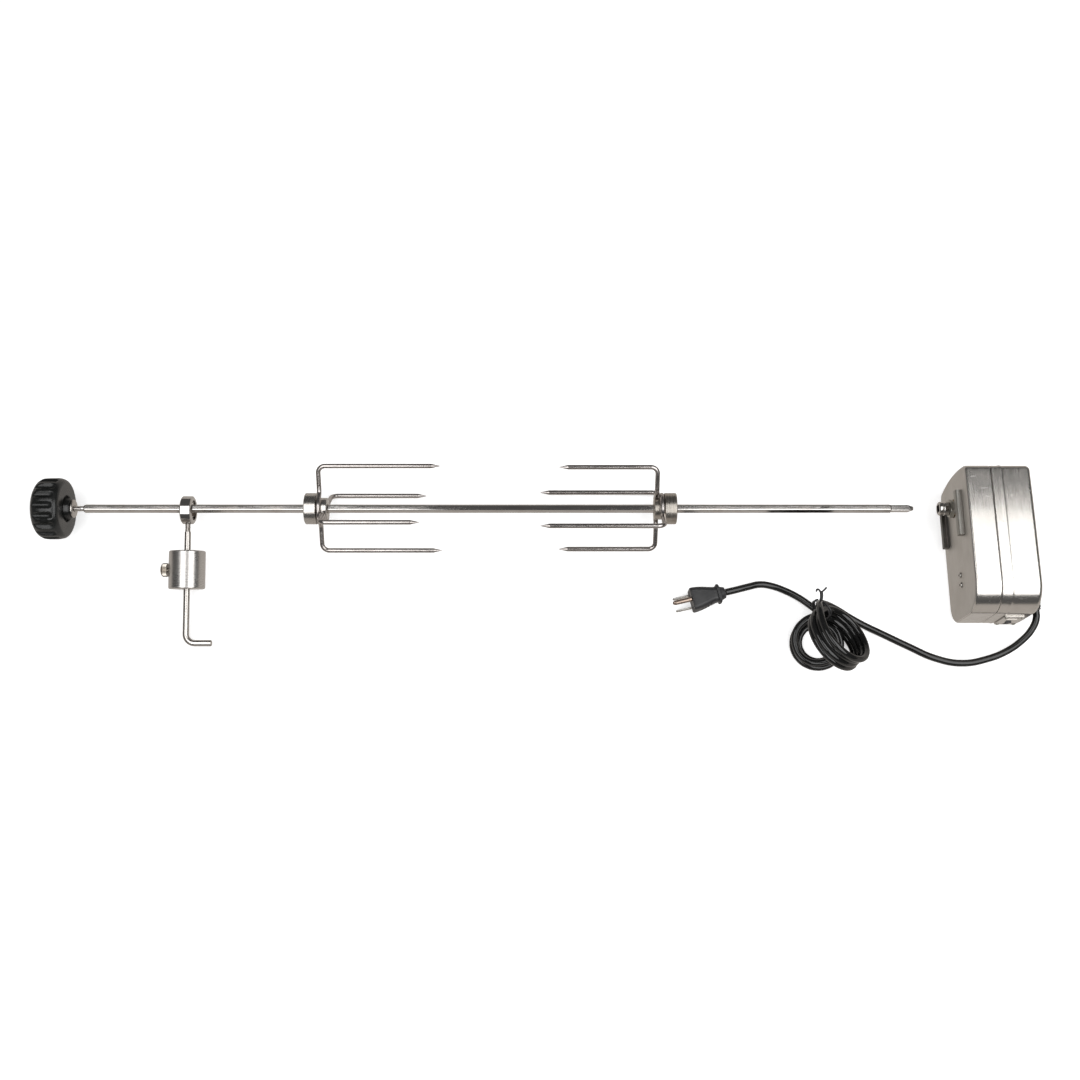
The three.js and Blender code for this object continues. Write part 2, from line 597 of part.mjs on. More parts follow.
const idlerHole = [IDLER_Y, SPIT_HEIGHT, IDLER_PIN_R + GAP];
const plateScrewHoles = FACE_SCREWS.map(([y, z]) => [y, z, SCREW_HOLE_R]);
const frontHoles = [[0, SPIT_HEIGHT, BUSHING.r + GAP], idlerHole, ...plateScrewHoles];
const rotorHole = [ROTOR_Y, SPIT_HEIGHT, ROTOR.shaftR + GAP];
const rearHoles = [[0, SPIT_HEIGHT, SHAFT.journalR + GAP], idlerHole, rotorHole];
place(motor, "gear_plate_front", gearPlate(PLATE.front, frontHoles), ZINC);
place(motor, "gear_plate_rear", gearPlate(PLATE.rear, rearHoles), ZINC);
POST_PLACES.forEach(([y, z], i) => {
  const post = cylinderX(3, PLATE.front[1] + GAP, PLATE.rear[0] - GAP, y, z, 12);
  place(motor, "gear_post_" + (i + 1), post, ZINC);
});

function statorCore() {
  const { x0, x1, y0, y1, z0, z1, limb } = CORE;
  const window = block(x0 - 1, x1 + 1, y0 + limb, y0 + limb + CORE.window, z0 + 6, z1 - 6);
  const bore = cylinderX(ROTOR.r + 0.8, x0 - 1, x1 + 1, ROTOR_Y, SPIT_HEIGHT, 20);
  return cut(block(x0, x1, y0, y1, z0, z1), window, bore, ...screwHoles(STATOR_SCREWS, x0 - 1, x1 + 1));
}

function statorCoil() {
  const { x0, x1, y0, limb } = CORE;
  const { winding, z0, z1 } = COIL_BOBBIN;
  const limbHole = block(x0 - GAP, x1 + GAP, y0 - GAP, y0 + limb + GAP, z0 - 1, z1 + 1);
  return cut(block(x0 - winding, x1 + winding, y0 - winding, y0 + limb + winding, z0, z1), limbHole);
}

function motorBracket() {
  const { x0, x1, y0, y1 } = BRACKET;
  const journal = cylinderX(ROTOR.shaftR + GAP, x0 - 1, x1 + 1, ROTOR_Y, SPIT_HEIGHT, 16);
  const screws = screwHoles(STATOR_SCREWS, x0 - 1, x1 + 1);
  return cut(block(x0, x1, y0, y1, CORE.z0, CORE.z1), journal, ...screws);
}

place(motor, "stator_core", statorCore(), IRON);
place(motor, "stator_coil", statorCoil(), COPPER);
place(motor, "motor_bracket", motorBracket(), ZINC);
STATOR_SCREWS.forEach(([y, z], i) => {
  const length = BRACKET.x1 - PLATE.rear[1];
  const screw = place(motor, "stator_screw_" + (i + 1), panHead(3, 1.8, length), ZINC);
  screw.position.set(BRACKET.x1 + GAP, y, z);
  screw.rotation.y = Math.PI;
});

// ---------- switch ----------

// Lies on the housing's end face, its outer side towards -Y.
function switchPlate() {
  const [x0, x1, z0, z1] = SWITCH.plate;
  const [wide, tall] = SWITCH.rocker;
  const window = block(SWITCH.x - wide / 2 - GAP, SWITCH.x + wide / 2 + GAP, BOX.y0 - 5, BOX.y0,
    SWITCH.z - tall / 2 - GAP, SWITCH.z + tall / 2 + GAP);
  return cut(block(x0, x1, BOX.y0 - 1.5, BOX.y0 - GAP, z0, z1), window);
}

function switchRocker() {
  const [wide, tall] = SWITCH.rocker;
  const shape = new THREE.Shape();
  shape.moveTo(-tall / 2, 0).lineTo(tall / 2, 0).lineTo(tall / 2, 2.4);
  shape.lineTo(0, 1.7).lineTo(-tall / 2, 1.1);
  const rocker = new THREE.ExtrudeGeometry(shape, { depth: wide, bevelEnabled: false });
  const basis = new THREE.Matrix4().makeBasis(
    new THREE.Vector3(0, 0, 1), new THREE.Vector3(0, -1, 0), new THREE.Vector3(1, 0, 0));
  return rocker.applyMatrix4(basis).translate(SWITCH.x - wide / 2, BOX.y0 - 0.5, SWITCH.z);
}

function switchBody() {
  const { half, halfHeight, depth } = SWITCH_BODY;
  const outer = BOX.y0 + BOX.wall + GAP;
  return block(SWITCH.x - half, SWITCH.x + half, outer, BOX.y0 + depth,
    SWITCH.z - halfHeight, SWITCH.z + halfHeight);
}

place(motor, "switch_plate", switchPlate(), STEEL);
place(motor, "switch_body", switchBody(), BLACK_PLASTIC);
place(motor, "switch_rocker", switchRocker(), BLACK_PLASTIC);

// ---------- power cord ----------

function strainRelief() {
  const { y, z, x, end, r, tipR } = RELIEF;
  const { start, collarR, collar } = RELIEF_STUB;
  const stub = turnedX([[start, 0], [start, RELIEF_STUB.r], [BOX.x1 + GAP, RELIEF_STUB.r],
    [BOX.x1 + GAP, collarR], [BOX.x1 + collar, collarR], [BOX.x1 + collar + 0.6, r], [x, r],
    [x, 0]], 14).translate(0, y, z);
  const elbow = new THREE.SphereGeometry(r, 12, 8).translate(x, y, z);
  const taper = new THREE.CylinderGeometry(tipR, r, y - end, 12);
  taper.rotateX(Math.PI).translate(x, (y + end) / 2, z);
  return join(stub, elbow, taper);
}

function ring(inner, outer, halfWidth, chamfer) {
  const flat = halfWidth - chamfer;
  const points = [[inner + chamfer, -halfWidth], [outer - chamfer, -halfWidth], [outer, -flat],
    [outer, flat], [outer - chamfer, halfWidth], [inner + chamfer, halfWidth], [inner, flat],
    [inner, -flat], [inner + chamfer, -halfWidth]].map(([r, y]) => new THREE.Vector2(r, y));
  return new THREE.LatheGeometry(points, 24).rotateX(Math.PI / 2);
}

// The coil's outer shape: flat turns on the table and turns that lean on them.
function cordCoil() {
  const flat = ring(COIL.flatIn, COIL.flatOut, COIL.flatHeight / 2, CORD_R);
  flat.translate(...COIL.flat, COIL.flatHeight / 2 + 0.1);
  const leaning = ring(LEAN.inner, LEAN.outer, LEAN.width / 2, CORD_R);
  leaning.rotateY(LEAN.tilt * DEG).rotateZ(LEAN.azimuth * DEG);
  leaning.translate(...LEAN.centre);
  return join(flat, leaning);
}

// The twisted ends of the wire that ties the coil, standing off its outer side.
function cordTie() {
  return sweep(smooth(TIE, 12), TIE_R, 8);
}

place(motor, "strain_relief", strainRelief(), RUBBER);
place(motor, "cord_motor_run", sweep(smooth(MOTOR_RUN, 22), CORD_R), RUBBER);
place(motor, "cord_plug_run", sweep(smooth(PLUG_RUN, 9), CORD_R), RUBBER);
place(motor, "cord_coil", cordCoil(), RUBBER);
place(motor, "cord_tie", cordTie(), BLACK_PLASTIC);

// ---------- plug ----------

// The plug's own frame has its origin at the middle of its face, and its pins along +X.
const plug = new THREE.Group();
plug.position.set(...PLUG.face, PLUG.z);
plug.rotation.z = Math.PI + PLUG.turn * DEG;
motor.add(plug);

function plugBody() {
  const { width, height, block: depth } = PLUG;
  const { length, r } = PLUG_NECK;
  const outline = roundedRectangle(-width / 2, width / 2, -height / 2, height / 2, 4);
  const face = barX(outline, -depth, 0, 1, 1);
  const taper = new THREE.CylinderGeometry(height / 2 - 0.5, r, length - depth + 1, 14);
  taper.rotateZ(-Math.PI / 2).translate(-(depth + length - 1) / 2, 0, 0);
  return join(face, taper);
}

function blade(side) {
  const { spacing, drop, length, height, thickness } = BLADE;
  const y = (side * spacing) / 2;
  return block(GAP, length, y - thickness / 2, y + thickness / 2, -drop - height / 2, height / 2 - drop);
}

function groundPin() {
  const { rise, r, length } = GROUND;
  return turnedX([[GAP, 0], [GAP, r], [length - r, r], [length - 0.8, r * 0.75], [length, 0.6],
    [length, 0]], 16).translate(0, 0, rise);
}

place(plug, "plug_body", plugBody(), BLACK_PLASTIC);
place(plug, "plug_blade_1", blade(1), STEEL);
place(plug, "plug_blade_2", blade(-1), STEEL);
place(plug, "plug_ground_pin", groundPin(), BRASS);

// ---------- origin: middle of the kit's footprint, without the cord, on the table ----------

const CORD_PIECES = /^(cord_|plug_|strain_)/;
const extent = new THREE.Box3();
kit.updateMatrixWorld(true);
kit.traverse((piece) => {
  if (piece.isMesh && !CORD_PIECES.test(piece.name)) extent.expandByObject(piece, true);
});
const middle = extent.getCenter(new THREE.Vector3());
kit.position.set(-middle.x, -middle.y, -extent.min.z);

export default kit;
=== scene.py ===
"""Looks of the rotisserie spit roaster: a hexagonal spit with two forks, a swinging
counterweight and a handle, beside the gear motor that turns it, its cord coiled and tied.
"""
import json
import math
import bmesh
import bpy
from mathutils import Matrix, Vector

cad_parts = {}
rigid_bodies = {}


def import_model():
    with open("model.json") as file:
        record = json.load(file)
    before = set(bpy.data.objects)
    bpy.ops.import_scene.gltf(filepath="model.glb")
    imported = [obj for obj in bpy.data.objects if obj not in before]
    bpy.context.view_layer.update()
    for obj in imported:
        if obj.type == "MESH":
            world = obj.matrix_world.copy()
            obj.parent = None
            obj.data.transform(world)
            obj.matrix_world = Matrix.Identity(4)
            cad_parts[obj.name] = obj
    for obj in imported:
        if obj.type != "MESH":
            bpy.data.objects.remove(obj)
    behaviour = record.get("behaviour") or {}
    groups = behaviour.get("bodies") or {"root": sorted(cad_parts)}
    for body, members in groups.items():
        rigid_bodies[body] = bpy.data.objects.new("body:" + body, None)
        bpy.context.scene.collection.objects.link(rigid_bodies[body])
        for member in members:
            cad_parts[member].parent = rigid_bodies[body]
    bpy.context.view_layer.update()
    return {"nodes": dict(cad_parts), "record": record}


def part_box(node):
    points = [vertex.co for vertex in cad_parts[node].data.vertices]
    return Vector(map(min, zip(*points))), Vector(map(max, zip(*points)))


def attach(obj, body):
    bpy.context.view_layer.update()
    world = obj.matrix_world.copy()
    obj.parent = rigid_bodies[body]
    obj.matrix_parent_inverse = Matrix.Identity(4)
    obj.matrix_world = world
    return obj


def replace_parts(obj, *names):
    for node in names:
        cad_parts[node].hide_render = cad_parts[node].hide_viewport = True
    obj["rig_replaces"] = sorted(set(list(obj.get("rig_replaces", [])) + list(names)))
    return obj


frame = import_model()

MM = 0.001
TAU = 2 * math.pi

# ---------- where things are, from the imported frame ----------

TIP_END = 375.5
ROD_LOW, ROD_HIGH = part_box("spit_rod")
ORIGIN = Vector((ROD_HIGH.x - TIP_END * MM, (ROD_LOW.y + ROD_HIGH.y) / 2, 0))
SPIT_Z = (ROD_LOW.z + ROD_HIGH.z) / 2 / MM
KIT = Matrix.Translation(ORIGIN) @ Matrix.Scale(MM, 4)
SPIT = KIT @ Matrix.Translation((0, 0, SPIT_Z))


# ---------- camera ----------

scene = bpy.context.scene
camera = bpy.data.objects.new("camera", bpy.data.cameras.new("camera"))
scene.collection.objects.link(camera)
scene.camera = camera
CAMERA_PITCH = math.radians(16)
CAMERA_DISTANCE = 1.3
AIM = ORIGIN + Vector((0, -0.0328, SPIT_Z * MM))
camera.location = AIM + CAMERA_DISTANCE * Vector((0, -math.sin(CAMERA_PITCH), math.cos(CAMERA_PITCH)))
camera.rotation_euler = (CAMERA_PITCH, 0, 0)
camera.data.sensor_width = 36
camera.data.lens = 43.33
camera.data.clip_end = 20

# ---------- procedural materials ----------


class Look:
    """Node helpers for one material."""

    def __init__(self, name):
        self.material = bpy.data.materials.new(name)
        self.material.use_nodes = True
        self.tree = self.material.node_tree
        self.shader = self.tree.nodes["Principled BSDF"]
        coordinates = self.tree.nodes.new("ShaderNodeTexCoord")
        self.place = coordinates.outputs["Object"]
        self.height = None

    def link(self, output, socket):
        self.tree.links.new(output, socket)

    def texture(self, kind, scale, stretch):
        """A texture with about scale features a metre, stretched by axis."""
        mapping = self.tree.nodes.new("ShaderNodeMapping")
        mapping.inputs["Scale"].default_value = [scale * s for s in stretch]
        texture = self.tree.nodes.new(kind)
        texture.inputs["Scale"].default_value = 1
        self.link(self.place, mapping.inputs["Vector"])
        self.link(mapping.outputs["Vector"], texture.inputs["Vector"])
        return texture

    def noise(self, scale, stretch=(1, 1, 1), detail=3):
        texture = self.texture("ShaderNodeTexNoise", scale, stretch)
        texture.inputs["Detail"].default_value = detail
        texture.inputs["Roughness"].default_value = 0.55
        return texture.outputs["Fac"]

    def cells(self, scale):
        return self.texture("ShaderNodeTexVoronoi", scale, (1, 1, 1)).outputs["Distance"]

    def spread(self, output, low, high, start=0.3, end=0.7):
        """Maps a noise value from start..end to low..high, clamped."""
        node = self.tree.nodes.new("ShaderNodeMapRange")
        node.inputs["From Min"].default_value = start
        node.inputs["From Max"].default_value = end
        node.inputs["To Min"].default_value = low
        node.inputs["To Max"].default_value = high
        self.link(output, node.inputs["Value"])
        return node.outputs["Result"]

    def facing_front(self):
        """1 where the surface faces -X, falling to 0 as it turns away."""
        geometry = self.tree.nodes.new("ShaderNodeNewGeometry")
        parts = self.tree.nodes.new("ShaderNodeSeparateXYZ")
        self.link(geometry.outputs["True Normal"], parts.inputs["Vector"])
        return self.spread(parts.outputs["X"], 1, 0, -0.95, -0.6)

    def maths(self, operation, a, b):
        node = self.tree.nodes.new("ShaderNodeMath")
        node.operation = operation
        for socket, value in zip(node.inputs, (a, b)):
            if isinstance(value, (int, float)):
                socket.default_value = value
            else:
                self.link(value, socket)
        return node.outputs["Value"]

    def blend(self, factor, first, second):
        """A colour from first to second as factor goes from 0 to 1."""
        node = self.tree.nodes.new("ShaderNodeMix")
        node.data_type = "RGBA"
        self.link(factor, node.inputs[0])
        for socket, value in ((node.inputs[6], first), (node.inputs[7], second)):
            if isinstance(value, tuple):
                socket.default_value = (*value, 1)
            else:
                self.link(value, socket)
        return node.outputs[2]

    def bump(self, output, depth):
        """Adds depth metres of relief from a 0..1 value."""
        node = self.tree.nodes.new("ShaderNodeBump")
        node.inputs["Strength"].default_value = 1
        node.inputs["Distance"].default_value = depth
        self.link(output, node.inputs["Height"])
        if self.height is not None:
            self.link(self.height, node.inputs["Normal"])
        self.height = node.outputs["Normal"]
        self.link(self.height, self.shader.inputs["Normal"])

    def put(self, socket, value):
        if isinstance(value, (int, float)):
            self.shader.inputs[socket].default_value = value
        elif isinstance(value, tuple):
            self.shader.inputs[socket].default_value = (*value, 1)
        else:
            self.link(value, self.shader.inputs[socket])


def metal(name, colour, shade, rough, spread, grain, stretch, relief, stain=None, stain_share=0.0,
          dull_front=0.0):
    """A metal whose fine lines run along the axes with the small numbers in stretch."""
    look = Look(name)
    lines = look.noise(grain, stretch, 4)
    patches = look.noise(45, (1, 1, 1), 4)
    scratches = look.spread(look.noise(160, (0.4, 1, 5), 2), 0, 1, 0.66, 0.72)
    tone = look.blend(look.spread(lines, 0, 1), shade, colour)
    if stain:
        mask = look.spread(patches, 0, stain_share, 0.42, 0.75)
        tone = look.blend(mask, tone, stain)
    look.put("Base Color", tone)
    look.put("Metallic", 1.0)
    dull = look.spread(lines, rough - spread, rough + spread)
    dull = look.maths("ADD", dull, look.spread(patches, 0, spread * 1.4))
    dull = look.maths("ADD", dull, look.maths("MULTIPLY", scratches, 0.06))
    if dull_front:
        dull = look.maths("ADD", dull, look.maths("MULTIPLY", look.facing_front(), dull_front))
    look.put("Roughness", dull)
    look.bump(lines, relief)
    return look.material


def moulded(name, colour, pale, rough, grain, relief, coat=0.0):
    """Moulded plastic or rubber: a fine pebbled grain with paler, duller patches at random."""
    look = Look(name)
    pebbles = look.cells(grain)
    patches = look.noise(60, (1, 1, 1), 4)
    fine = look.noise(900, (1, 1, 1), 2)
    look.put("Base Color", look.blend(look.spread(patches, 0, 1, 0.35, 0.8), colour, pale))
    base = look.spread(patches, rough - 0.06, rough + 0.08)
    look.put("Roughness", look.maths("ADD", base, look.spread(fine, -0.03, 0.05)))
    look.put("Metallic", 0.0)
    look.put("Coat Weight", coat)
    look.put("Coat Roughness", 0.2)
    look.bump(pebbles, relief)
    look.bump(patches, relief * 3)
    return look.material


CHROME = metal("chrome", (0.62, 0.605, 0.59), (0.52, 0.50, 0.48), 0.09, 0.03, 900, (0.05, 1, 1), 4e-6,
               (0.40, 0.35, 0.31), 0.4)
WIRE = metal("wire_steel", (0.53, 0.50, 0.485), (0.42, 0.39, 0.375), 0.2, 0.05, 900, (0.05, 1, 1), 5e-6,
             (0.33, 0.29, 0.26), 0.45)
TURNED_X = metal("turned_steel", (0.56, 0.53, 0.49), (0.36, 0.33, 0.29), 0.24, 0.07, 2600, (1, 0.01, 0.01),
                 1.4e-5, (0.33, 0.28, 0.23), 0.5)
TURNED_Y = metal("turned_weight", (0.66, 0.645, 0.625), (0.53, 0.51, 0.49), 0.27, 0.05, 2200,
                 (0.01, 1, 0.2), 6e-6, (0.45, 0.42, 0.38), 0.25)
PLATED = metal("plated_steel", (0.60, 0.58, 0.555), (0.48, 0.455, 0.43), 0.22, 0.05, 1100, (1, 1, 1),
               6e-6, (0.38, 0.34, 0.30), 0.4)
BLADE_METAL = metal("nickel_blade", (0.55, 0.54, 0.52), (0.42, 0.41, 0.39), 0.3, 0.05, 1300,
                    (0.1, 1, 1), 6e-6, (0.33, 0.29, 0.25), 0.4)
STAINLESS = metal("brushed_stainless", (0.66, 0.635, 0.605), (0.56, 0.535, 0.50), 0.19, 0.04, 2400,
                  (1, 0.02, 1), 7e-6, (0.50, 0.47, 0.43), 0.35, dull_front=0.3)
# Painted shade: the bracket rails are stainless steel painted darker, the upper rail to a mid grey and the
# lower rail to near black, a painted shadow for the hollow of its channel.
RAIL_PAINTED_MID_SHADE = metal("rail_painted_mid_shade", (0.36, 0.35, 0.325), (0.26, 0.25, 0.23), 0.3, 0.05, 2000, (1, 0.02, 1),
                  7e-6, (0.20, 0.19, 0.17), 0.4)
RAIL_SHADED = metal("rail_painted_deep_shadow", (0.16, 0.155, 0.15), (0.10, 0.095, 0.09), 0.3, 0.05, 2000,
                    (1, 0.02, 1), 7e-6, (0.07, 0.065, 0.06), 0.4)
ZINC = metal("zinc_steel", (0.55, 0.54, 0.50), (0.42, 0.41, 0.37), 0.38, 0.07, 500, (1, 1, 1), 1.2e-5,
             (0.36, 0.34, 0.25), 0.5)
IRON = metal("dark_iron", (0.20, 0.19, 0.18), (0.10, 0.10, 0.10), 0.42, 0.08, 700, (6, 1, 1), 2e-5)
BRASS = metal("brass", (0.60, 0.43, 0.20), (0.44, 0.29, 0.12), 0.26, 0.06, 900, (0.2, 1, 1), 8e-6,
              (0.25, 0.15, 0.07), 0.4)
PIN_METAL = metal("dull_brass", (0.46, 0.37, 0.31), (0.33, 0.25, 0.20), 0.3, 0.06, 1100, (0.2, 1, 1),
                  8e-6, (0.22, 0.16, 0.13), 0.45)
COPPER = metal("copper", (0.52, 0.20, 0.08), (0.28, 0.09, 0.035), 0.3, 0.06, 1800, (1, 0.05, 1), 6e-5)
NYLON = moulded("nylon", (0.72, 0.69, 0.60), (0.62, 0.58, 0.47), 0.42, 1500, 6e-6)
KNOB_PLASTIC = moulded("knob_plastic", (0.006, 0.0065, 0.006), (0.015, 0.016, 0.016), 0.26, 2600, 6e-6)
BLACK_PLASTIC = moulded("black_plastic", (0.018, 0.018, 0.019), (0.036, 0.036, 0.038), 0.42, 2200, 1.1e-5)
RUBBER = moulded("cord_rubber", (0.005, 0.005, 0.005), (0.012, 0.012, 0.012), 0.10, 2000, 2e-6)

SLOT_LOOKS = {
    "chrome": CHROME, "plated_steel": PLATED, "brushed_stainless": STAINLESS, "zinc_steel": ZINC,
    "dark_iron": IRON, "brass": BRASS, "copper": COPPER, "nylon": NYLON,
    "knob_plastic": KNOB_PLASTIC, "black_plastic": BLACK_PLASTIC, "cord_rubber": RUBBER,
}

# ---------- power cord ----------

MOTOR_RUN = [
    (0.495, -0.1008, 0.022), (0.4948, -0.109, 0.0212), (0.4905, -0.1195, 0.0174),
    (0.481, -0.130, 0.0124), (0.467, -0.1395, 0.0078), (0.449, -0.1465, 0.0047),
    (0.422, -0.151, 0.0038), (0.396, -0.146, 0.0038), (0.370, -0.134, 0.0038),
    (0.344, -0.121, 0.0038), (0.326, -0.112, 0.004), (0.312, -0.1045, 0.006),
    (0.299, -0.098, 0.0115),
]
PLUG_RUN = [
    (0.284, -0.1004, 0.0038), (0.274, -0.092, 0.0038), (0.262, -0.0833, 0.0038),
    (0.249, -0.0764, 0.0038), (0.236, -0.0716, 0.0039), (0.224, -0.0701, 0.005),
    (0.2115, -0.0732, 0.0078), (0.1995, -0.0768, 0.0104), (0.188, -0.0797, 0.011),
]
CORD_R = 0.0035
LEAN_CENTRE = Vector((0.293, -0.1298, 0.032))
LEAN_AZIMUTH, LEAN_TILT = math.radians(35.3), math.radians(45.5)
LEAN_AXIS = Vector((math.sin(LEAN_TILT) * math.cos(LEAN_AZIMUTH),
                    math.sin(LEAN_TILT) * math.sin(LEAN_AZIMUTH), math.cos(LEAN_TILT)))
LEAN_SIDE = Vector((-math.sin(LEAN_AZIMUTH), math.cos(LEAN_AZIMUTH), 0))
LEAN_RISE = LEAN_AXIS.cross(LEAN_SIDE)
LEAN_TURNS = 4
LEAN_R, LEAN_ENTRY_R, LEAN_UNEVEN = 0.030, 0.0375, 0.0012
LEAN_ENTRY, LEAN_FIRST, LEAN_LAST = 0.003, 0.0100, -0.0098  # along the ring's axis
FLAT_CENTRE = Vector((0.278, -0.131, 0))
TABLE_GAP = 0.0002


def ease(t):
    t = min(max(t, 0), 1)
    return t * t * (3 - 2 * t)


def leaning_turns():
    """Four turns side by side along the leaning ring's axis, coming in from outside it."""
    points = []
    start, stop, step = -24, 360 * LEAN_TURNS - 52, 20
    for angle in range(start, stop + 1, step):
        a = math.radians(angle)
        come = ease((angle - start) / 80)
        radius = LEAN_ENTRY_R + (LEAN_R - LEAN_ENTRY_R) * come + LEAN_UNEVEN * math.sin(0.61 * a) * come
        along = LEAN_FIRST
        if angle > 40:
            along += (LEAN_LAST - LEAN_FIRST) * (angle - 40) / (stop - 40)
        along = LEAN_ENTRY + (along - LEAN_ENTRY) * ease((angle - start) / 50)
        points.append(LEAN_CENTRE + radius * (math.cos(a) * LEAN_SIDE + math.sin(a) * LEAN_RISE)
                      + along * LEAN_AXIS)
    return points


def flat_turns():
    """Three fanned turns on the table, the first one coming down from the leaning ring."""
    # angle on the ring, radius, height
    keys = [(84, 0.0262, 0.0140), (130, 0.0245, 0.0135), (200, 0.0232, 0.0112), (300, 0.0205, 0.0108),
            (400, 0.0192, 0.0100), (480, 0.0182, 0.0065), (560, 0.0180, 0.0038), (760, 0.0190, 0.0037),
            (860, 0.0235, 0.0037), (940, 0.0242, 0.0037), (1100, 0.0243, 0.0037), (1140, 0.0262, 0.0037)]
    points = []
    for angle in range(84, 1141, 22):
        i = max(k for k in range(len(keys) - 1) if keys[k][0] <= angle)
        (a0, r0, z0), (a1, r1, z1) = keys[i], keys[i + 1]
        t = ease((angle - a0) / (a1 - a0))
        radius, height = r0 + (r1 - r0) * t, z0 + (z1 - z0) * t
        a = math.radians(angle)
        points.append(FLAT_CENTRE + Vector((radius * math.cos(a), radius * math.sin(a), height)))
    return points


def cord_curve():
    """The cord's curve and its route, kept clear of the table."""
    route = [Vector(p) for p in MOTOR_RUN] + leaning_turns() + flat_turns() + [Vector(p) for p in PLUG_RUN]
    curve = bpy.data.curves.new("power_cord", "CURVE")
    curve.dimensions = "3D"
    spline = curve.splines.new("BEZIER")
    spline.bezier_points.add(len(route) - 1)
    for knot, place in zip(spline.bezier_points, route):
        knot.co = ORIGIN + Vector((place.x, place.y, max(place.z, CORD_R + TABLE_GAP)))
        knot.handle_left_type = knot.handle_right_type = "AUTO"
    spline.resolution_u = 6
    curve.bevel_depth = CORD_R
    curve.bevel_resolution = 5
    curve.use_fill_caps = True
    curve.materials.append(RUBBER)
    piece = bpy.data.objects.new("power_cord", curve)
    scene.collection.objects.link(piece)
    return piece, route


cord, cord_route = cord_curve()
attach(cord, "housing")
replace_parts(cord, "cord_motor_run", "cord_coil", "cord_plug_run")

# ---------- mesh helpers ----------


def soften(points, radius, steps=3, closed=False):
    """Rounds the corners of an outline or a route."""
    rounded = []
    for i, point in enumerate(points):
        if not closed and i in (0, len(points) - 1):
            rounded.append(tuple(point))
            continue
        before, here, after = Vector(points[i - 1]), Vector(point), Vector(points[(i + 1) % len(points)])
        back, ahead = before - here, after - here
        start = here + back.normalized() * min(radius, back.length * 0.46)
        end = here + ahead.normalized() * min(radius, ahead.length * 0.46)
        for k in range(steps + 1):
            t = k / steps
            rounded.append(tuple(start.lerp(here, t).lerp(here.lerp(end, t), t)))
    return rounded


def loft(rings, closed=False):
    """A skin over rings of equal count, with its ends filled unless it closes on itself."""
    count = len(rings[0])
    verts = [p for ring in rings for p in ring]
    faces = []
    for i in range(len(rings) if closed else len(rings) - 1):
        j = (i + 1) % len(rings)
        for k in range(count):
            m = (k + 1) % count
            faces.append((i * count + k, i * count + m, j * count + m, j * count + k))
    if not closed:
        faces.append(tuple(range(count)))
        faces.append(tuple(range(len(verts) - 1, len(verts) - 1 - count, -1)))
    return verts, faces


def ring_at(x, sides, radius, centre=(0, 0)):
    """Points at x, radius(angle) away from centre."""
    points = []
    for k in range(sides):
        a = TAU * k / sides
        r = radius(a)
        points.append((x, centre[0] + r * math.cos(a), centre[1] + r * math.sin(a)))
    return points


def turned(profile, sides=64, closed=False, centre=(0, 0)):
    """A profile of (x, radius) turned about the X axis through centre."""
    return loft([ring_at(x, sides, lambda a: max(r, 1e-4), centre) for x, r in profile], closed)


def polar(stations, sides, radius):
    """A skin whose radius is radius(x, angle) at each x in stations."""
    return loft([ring_at(x, sides, lambda a: radius(x, a)) for x in stations])


def tube(route, radii, sides=20):
    """A round skin along a route, with one radius or one for each point."""
    points = [Vector(p) for p in route]
    if not isinstance(radii, (list, tuple)):
        radii = [radii] * len(points)
    rings, side = [], None
    for i, point in enumerate(points):
        ahead = points[min(i + 1, len(points) - 1)] - points[max(i - 1, 0)]
        ahead.normalize()
        if side is None:
            side = ahead.orthogonal().normalized()
        side = (side - side.dot(ahead) * ahead).normalized()
        up = ahead.cross(side)
        ring = []
        for k in range(sides):
            a = TAU * k / sides
            ring.append(tuple(point + radii[i] * (math.cos(a) * side + math.sin(a) * up)))
        rings.append(ring)
    return loft(rings)


def slab(x, y, z):
    """A box from three (low, high) pairs, for cutting."""
    ring = [(0, 0), (1, 0), (1, 1), (0, 1)]
    return loft([[(x[end], y[i], z[j]) for i, j in ring] for end in (0, 1)])


def outline_x(shape, x):
    return [(x, y, z) for y, z in shape]


def new_object(name, shape, place):
    """An object from vertices and faces, cleaned, with its faces pointing out."""
    verts, faces = shape
    mesh = bpy.data.meshes.new(name)
    mesh.from_pydata([place @ Vector(v) for v in verts], [], faces)
    bm = bmesh.new()
    bm.from_mesh(mesh)
    bmesh.ops.remove_doubles(bm, verts=bm.verts, dist=2e-6)
    bmesh.ops.dissolve_degenerate(bm, edges=bm.edges, dist=1e-7)
    bmesh.ops.recalc_face_normals(bm, faces=bm.faces)
    bm.to_mesh(mesh)
    bm.free()
    thing = bpy.data.objects.new(name, mesh)
    scene.collection.objects.link(thing)
    return thing


def boolean(thing, tools, operation):
    """Cuts or joins other objects, which are used up."""
    for tool in tools:
        modifier = thing.modifiers.new("boolean", "BOOLEAN")
        modifier.operation = operation
        modifier.solver = "EXACT"
        modifier.object = tool
    graph = bpy.context.evaluated_depsgraph_get()
    mesh = bpy.data.meshes.new_from_object(thing.evaluated_get(graph))
    thing.modifiers.clear()
    thing.data = mesh
    for tool in tools:
        bpy.data.objects.remove(tool)


def round_edges(thing, width, segments, angle):
    """Bevels the edges sharper than angle degrees by width millimetres."""
    edge = thing.modifiers.new("edges", "BEVEL")
    edge.width = width * MM
    edge.segments = segments
    edge.limit_method = "ANGLE"
    edge.angle_limit = math.radians(angle)
    edge.harden_normals = True


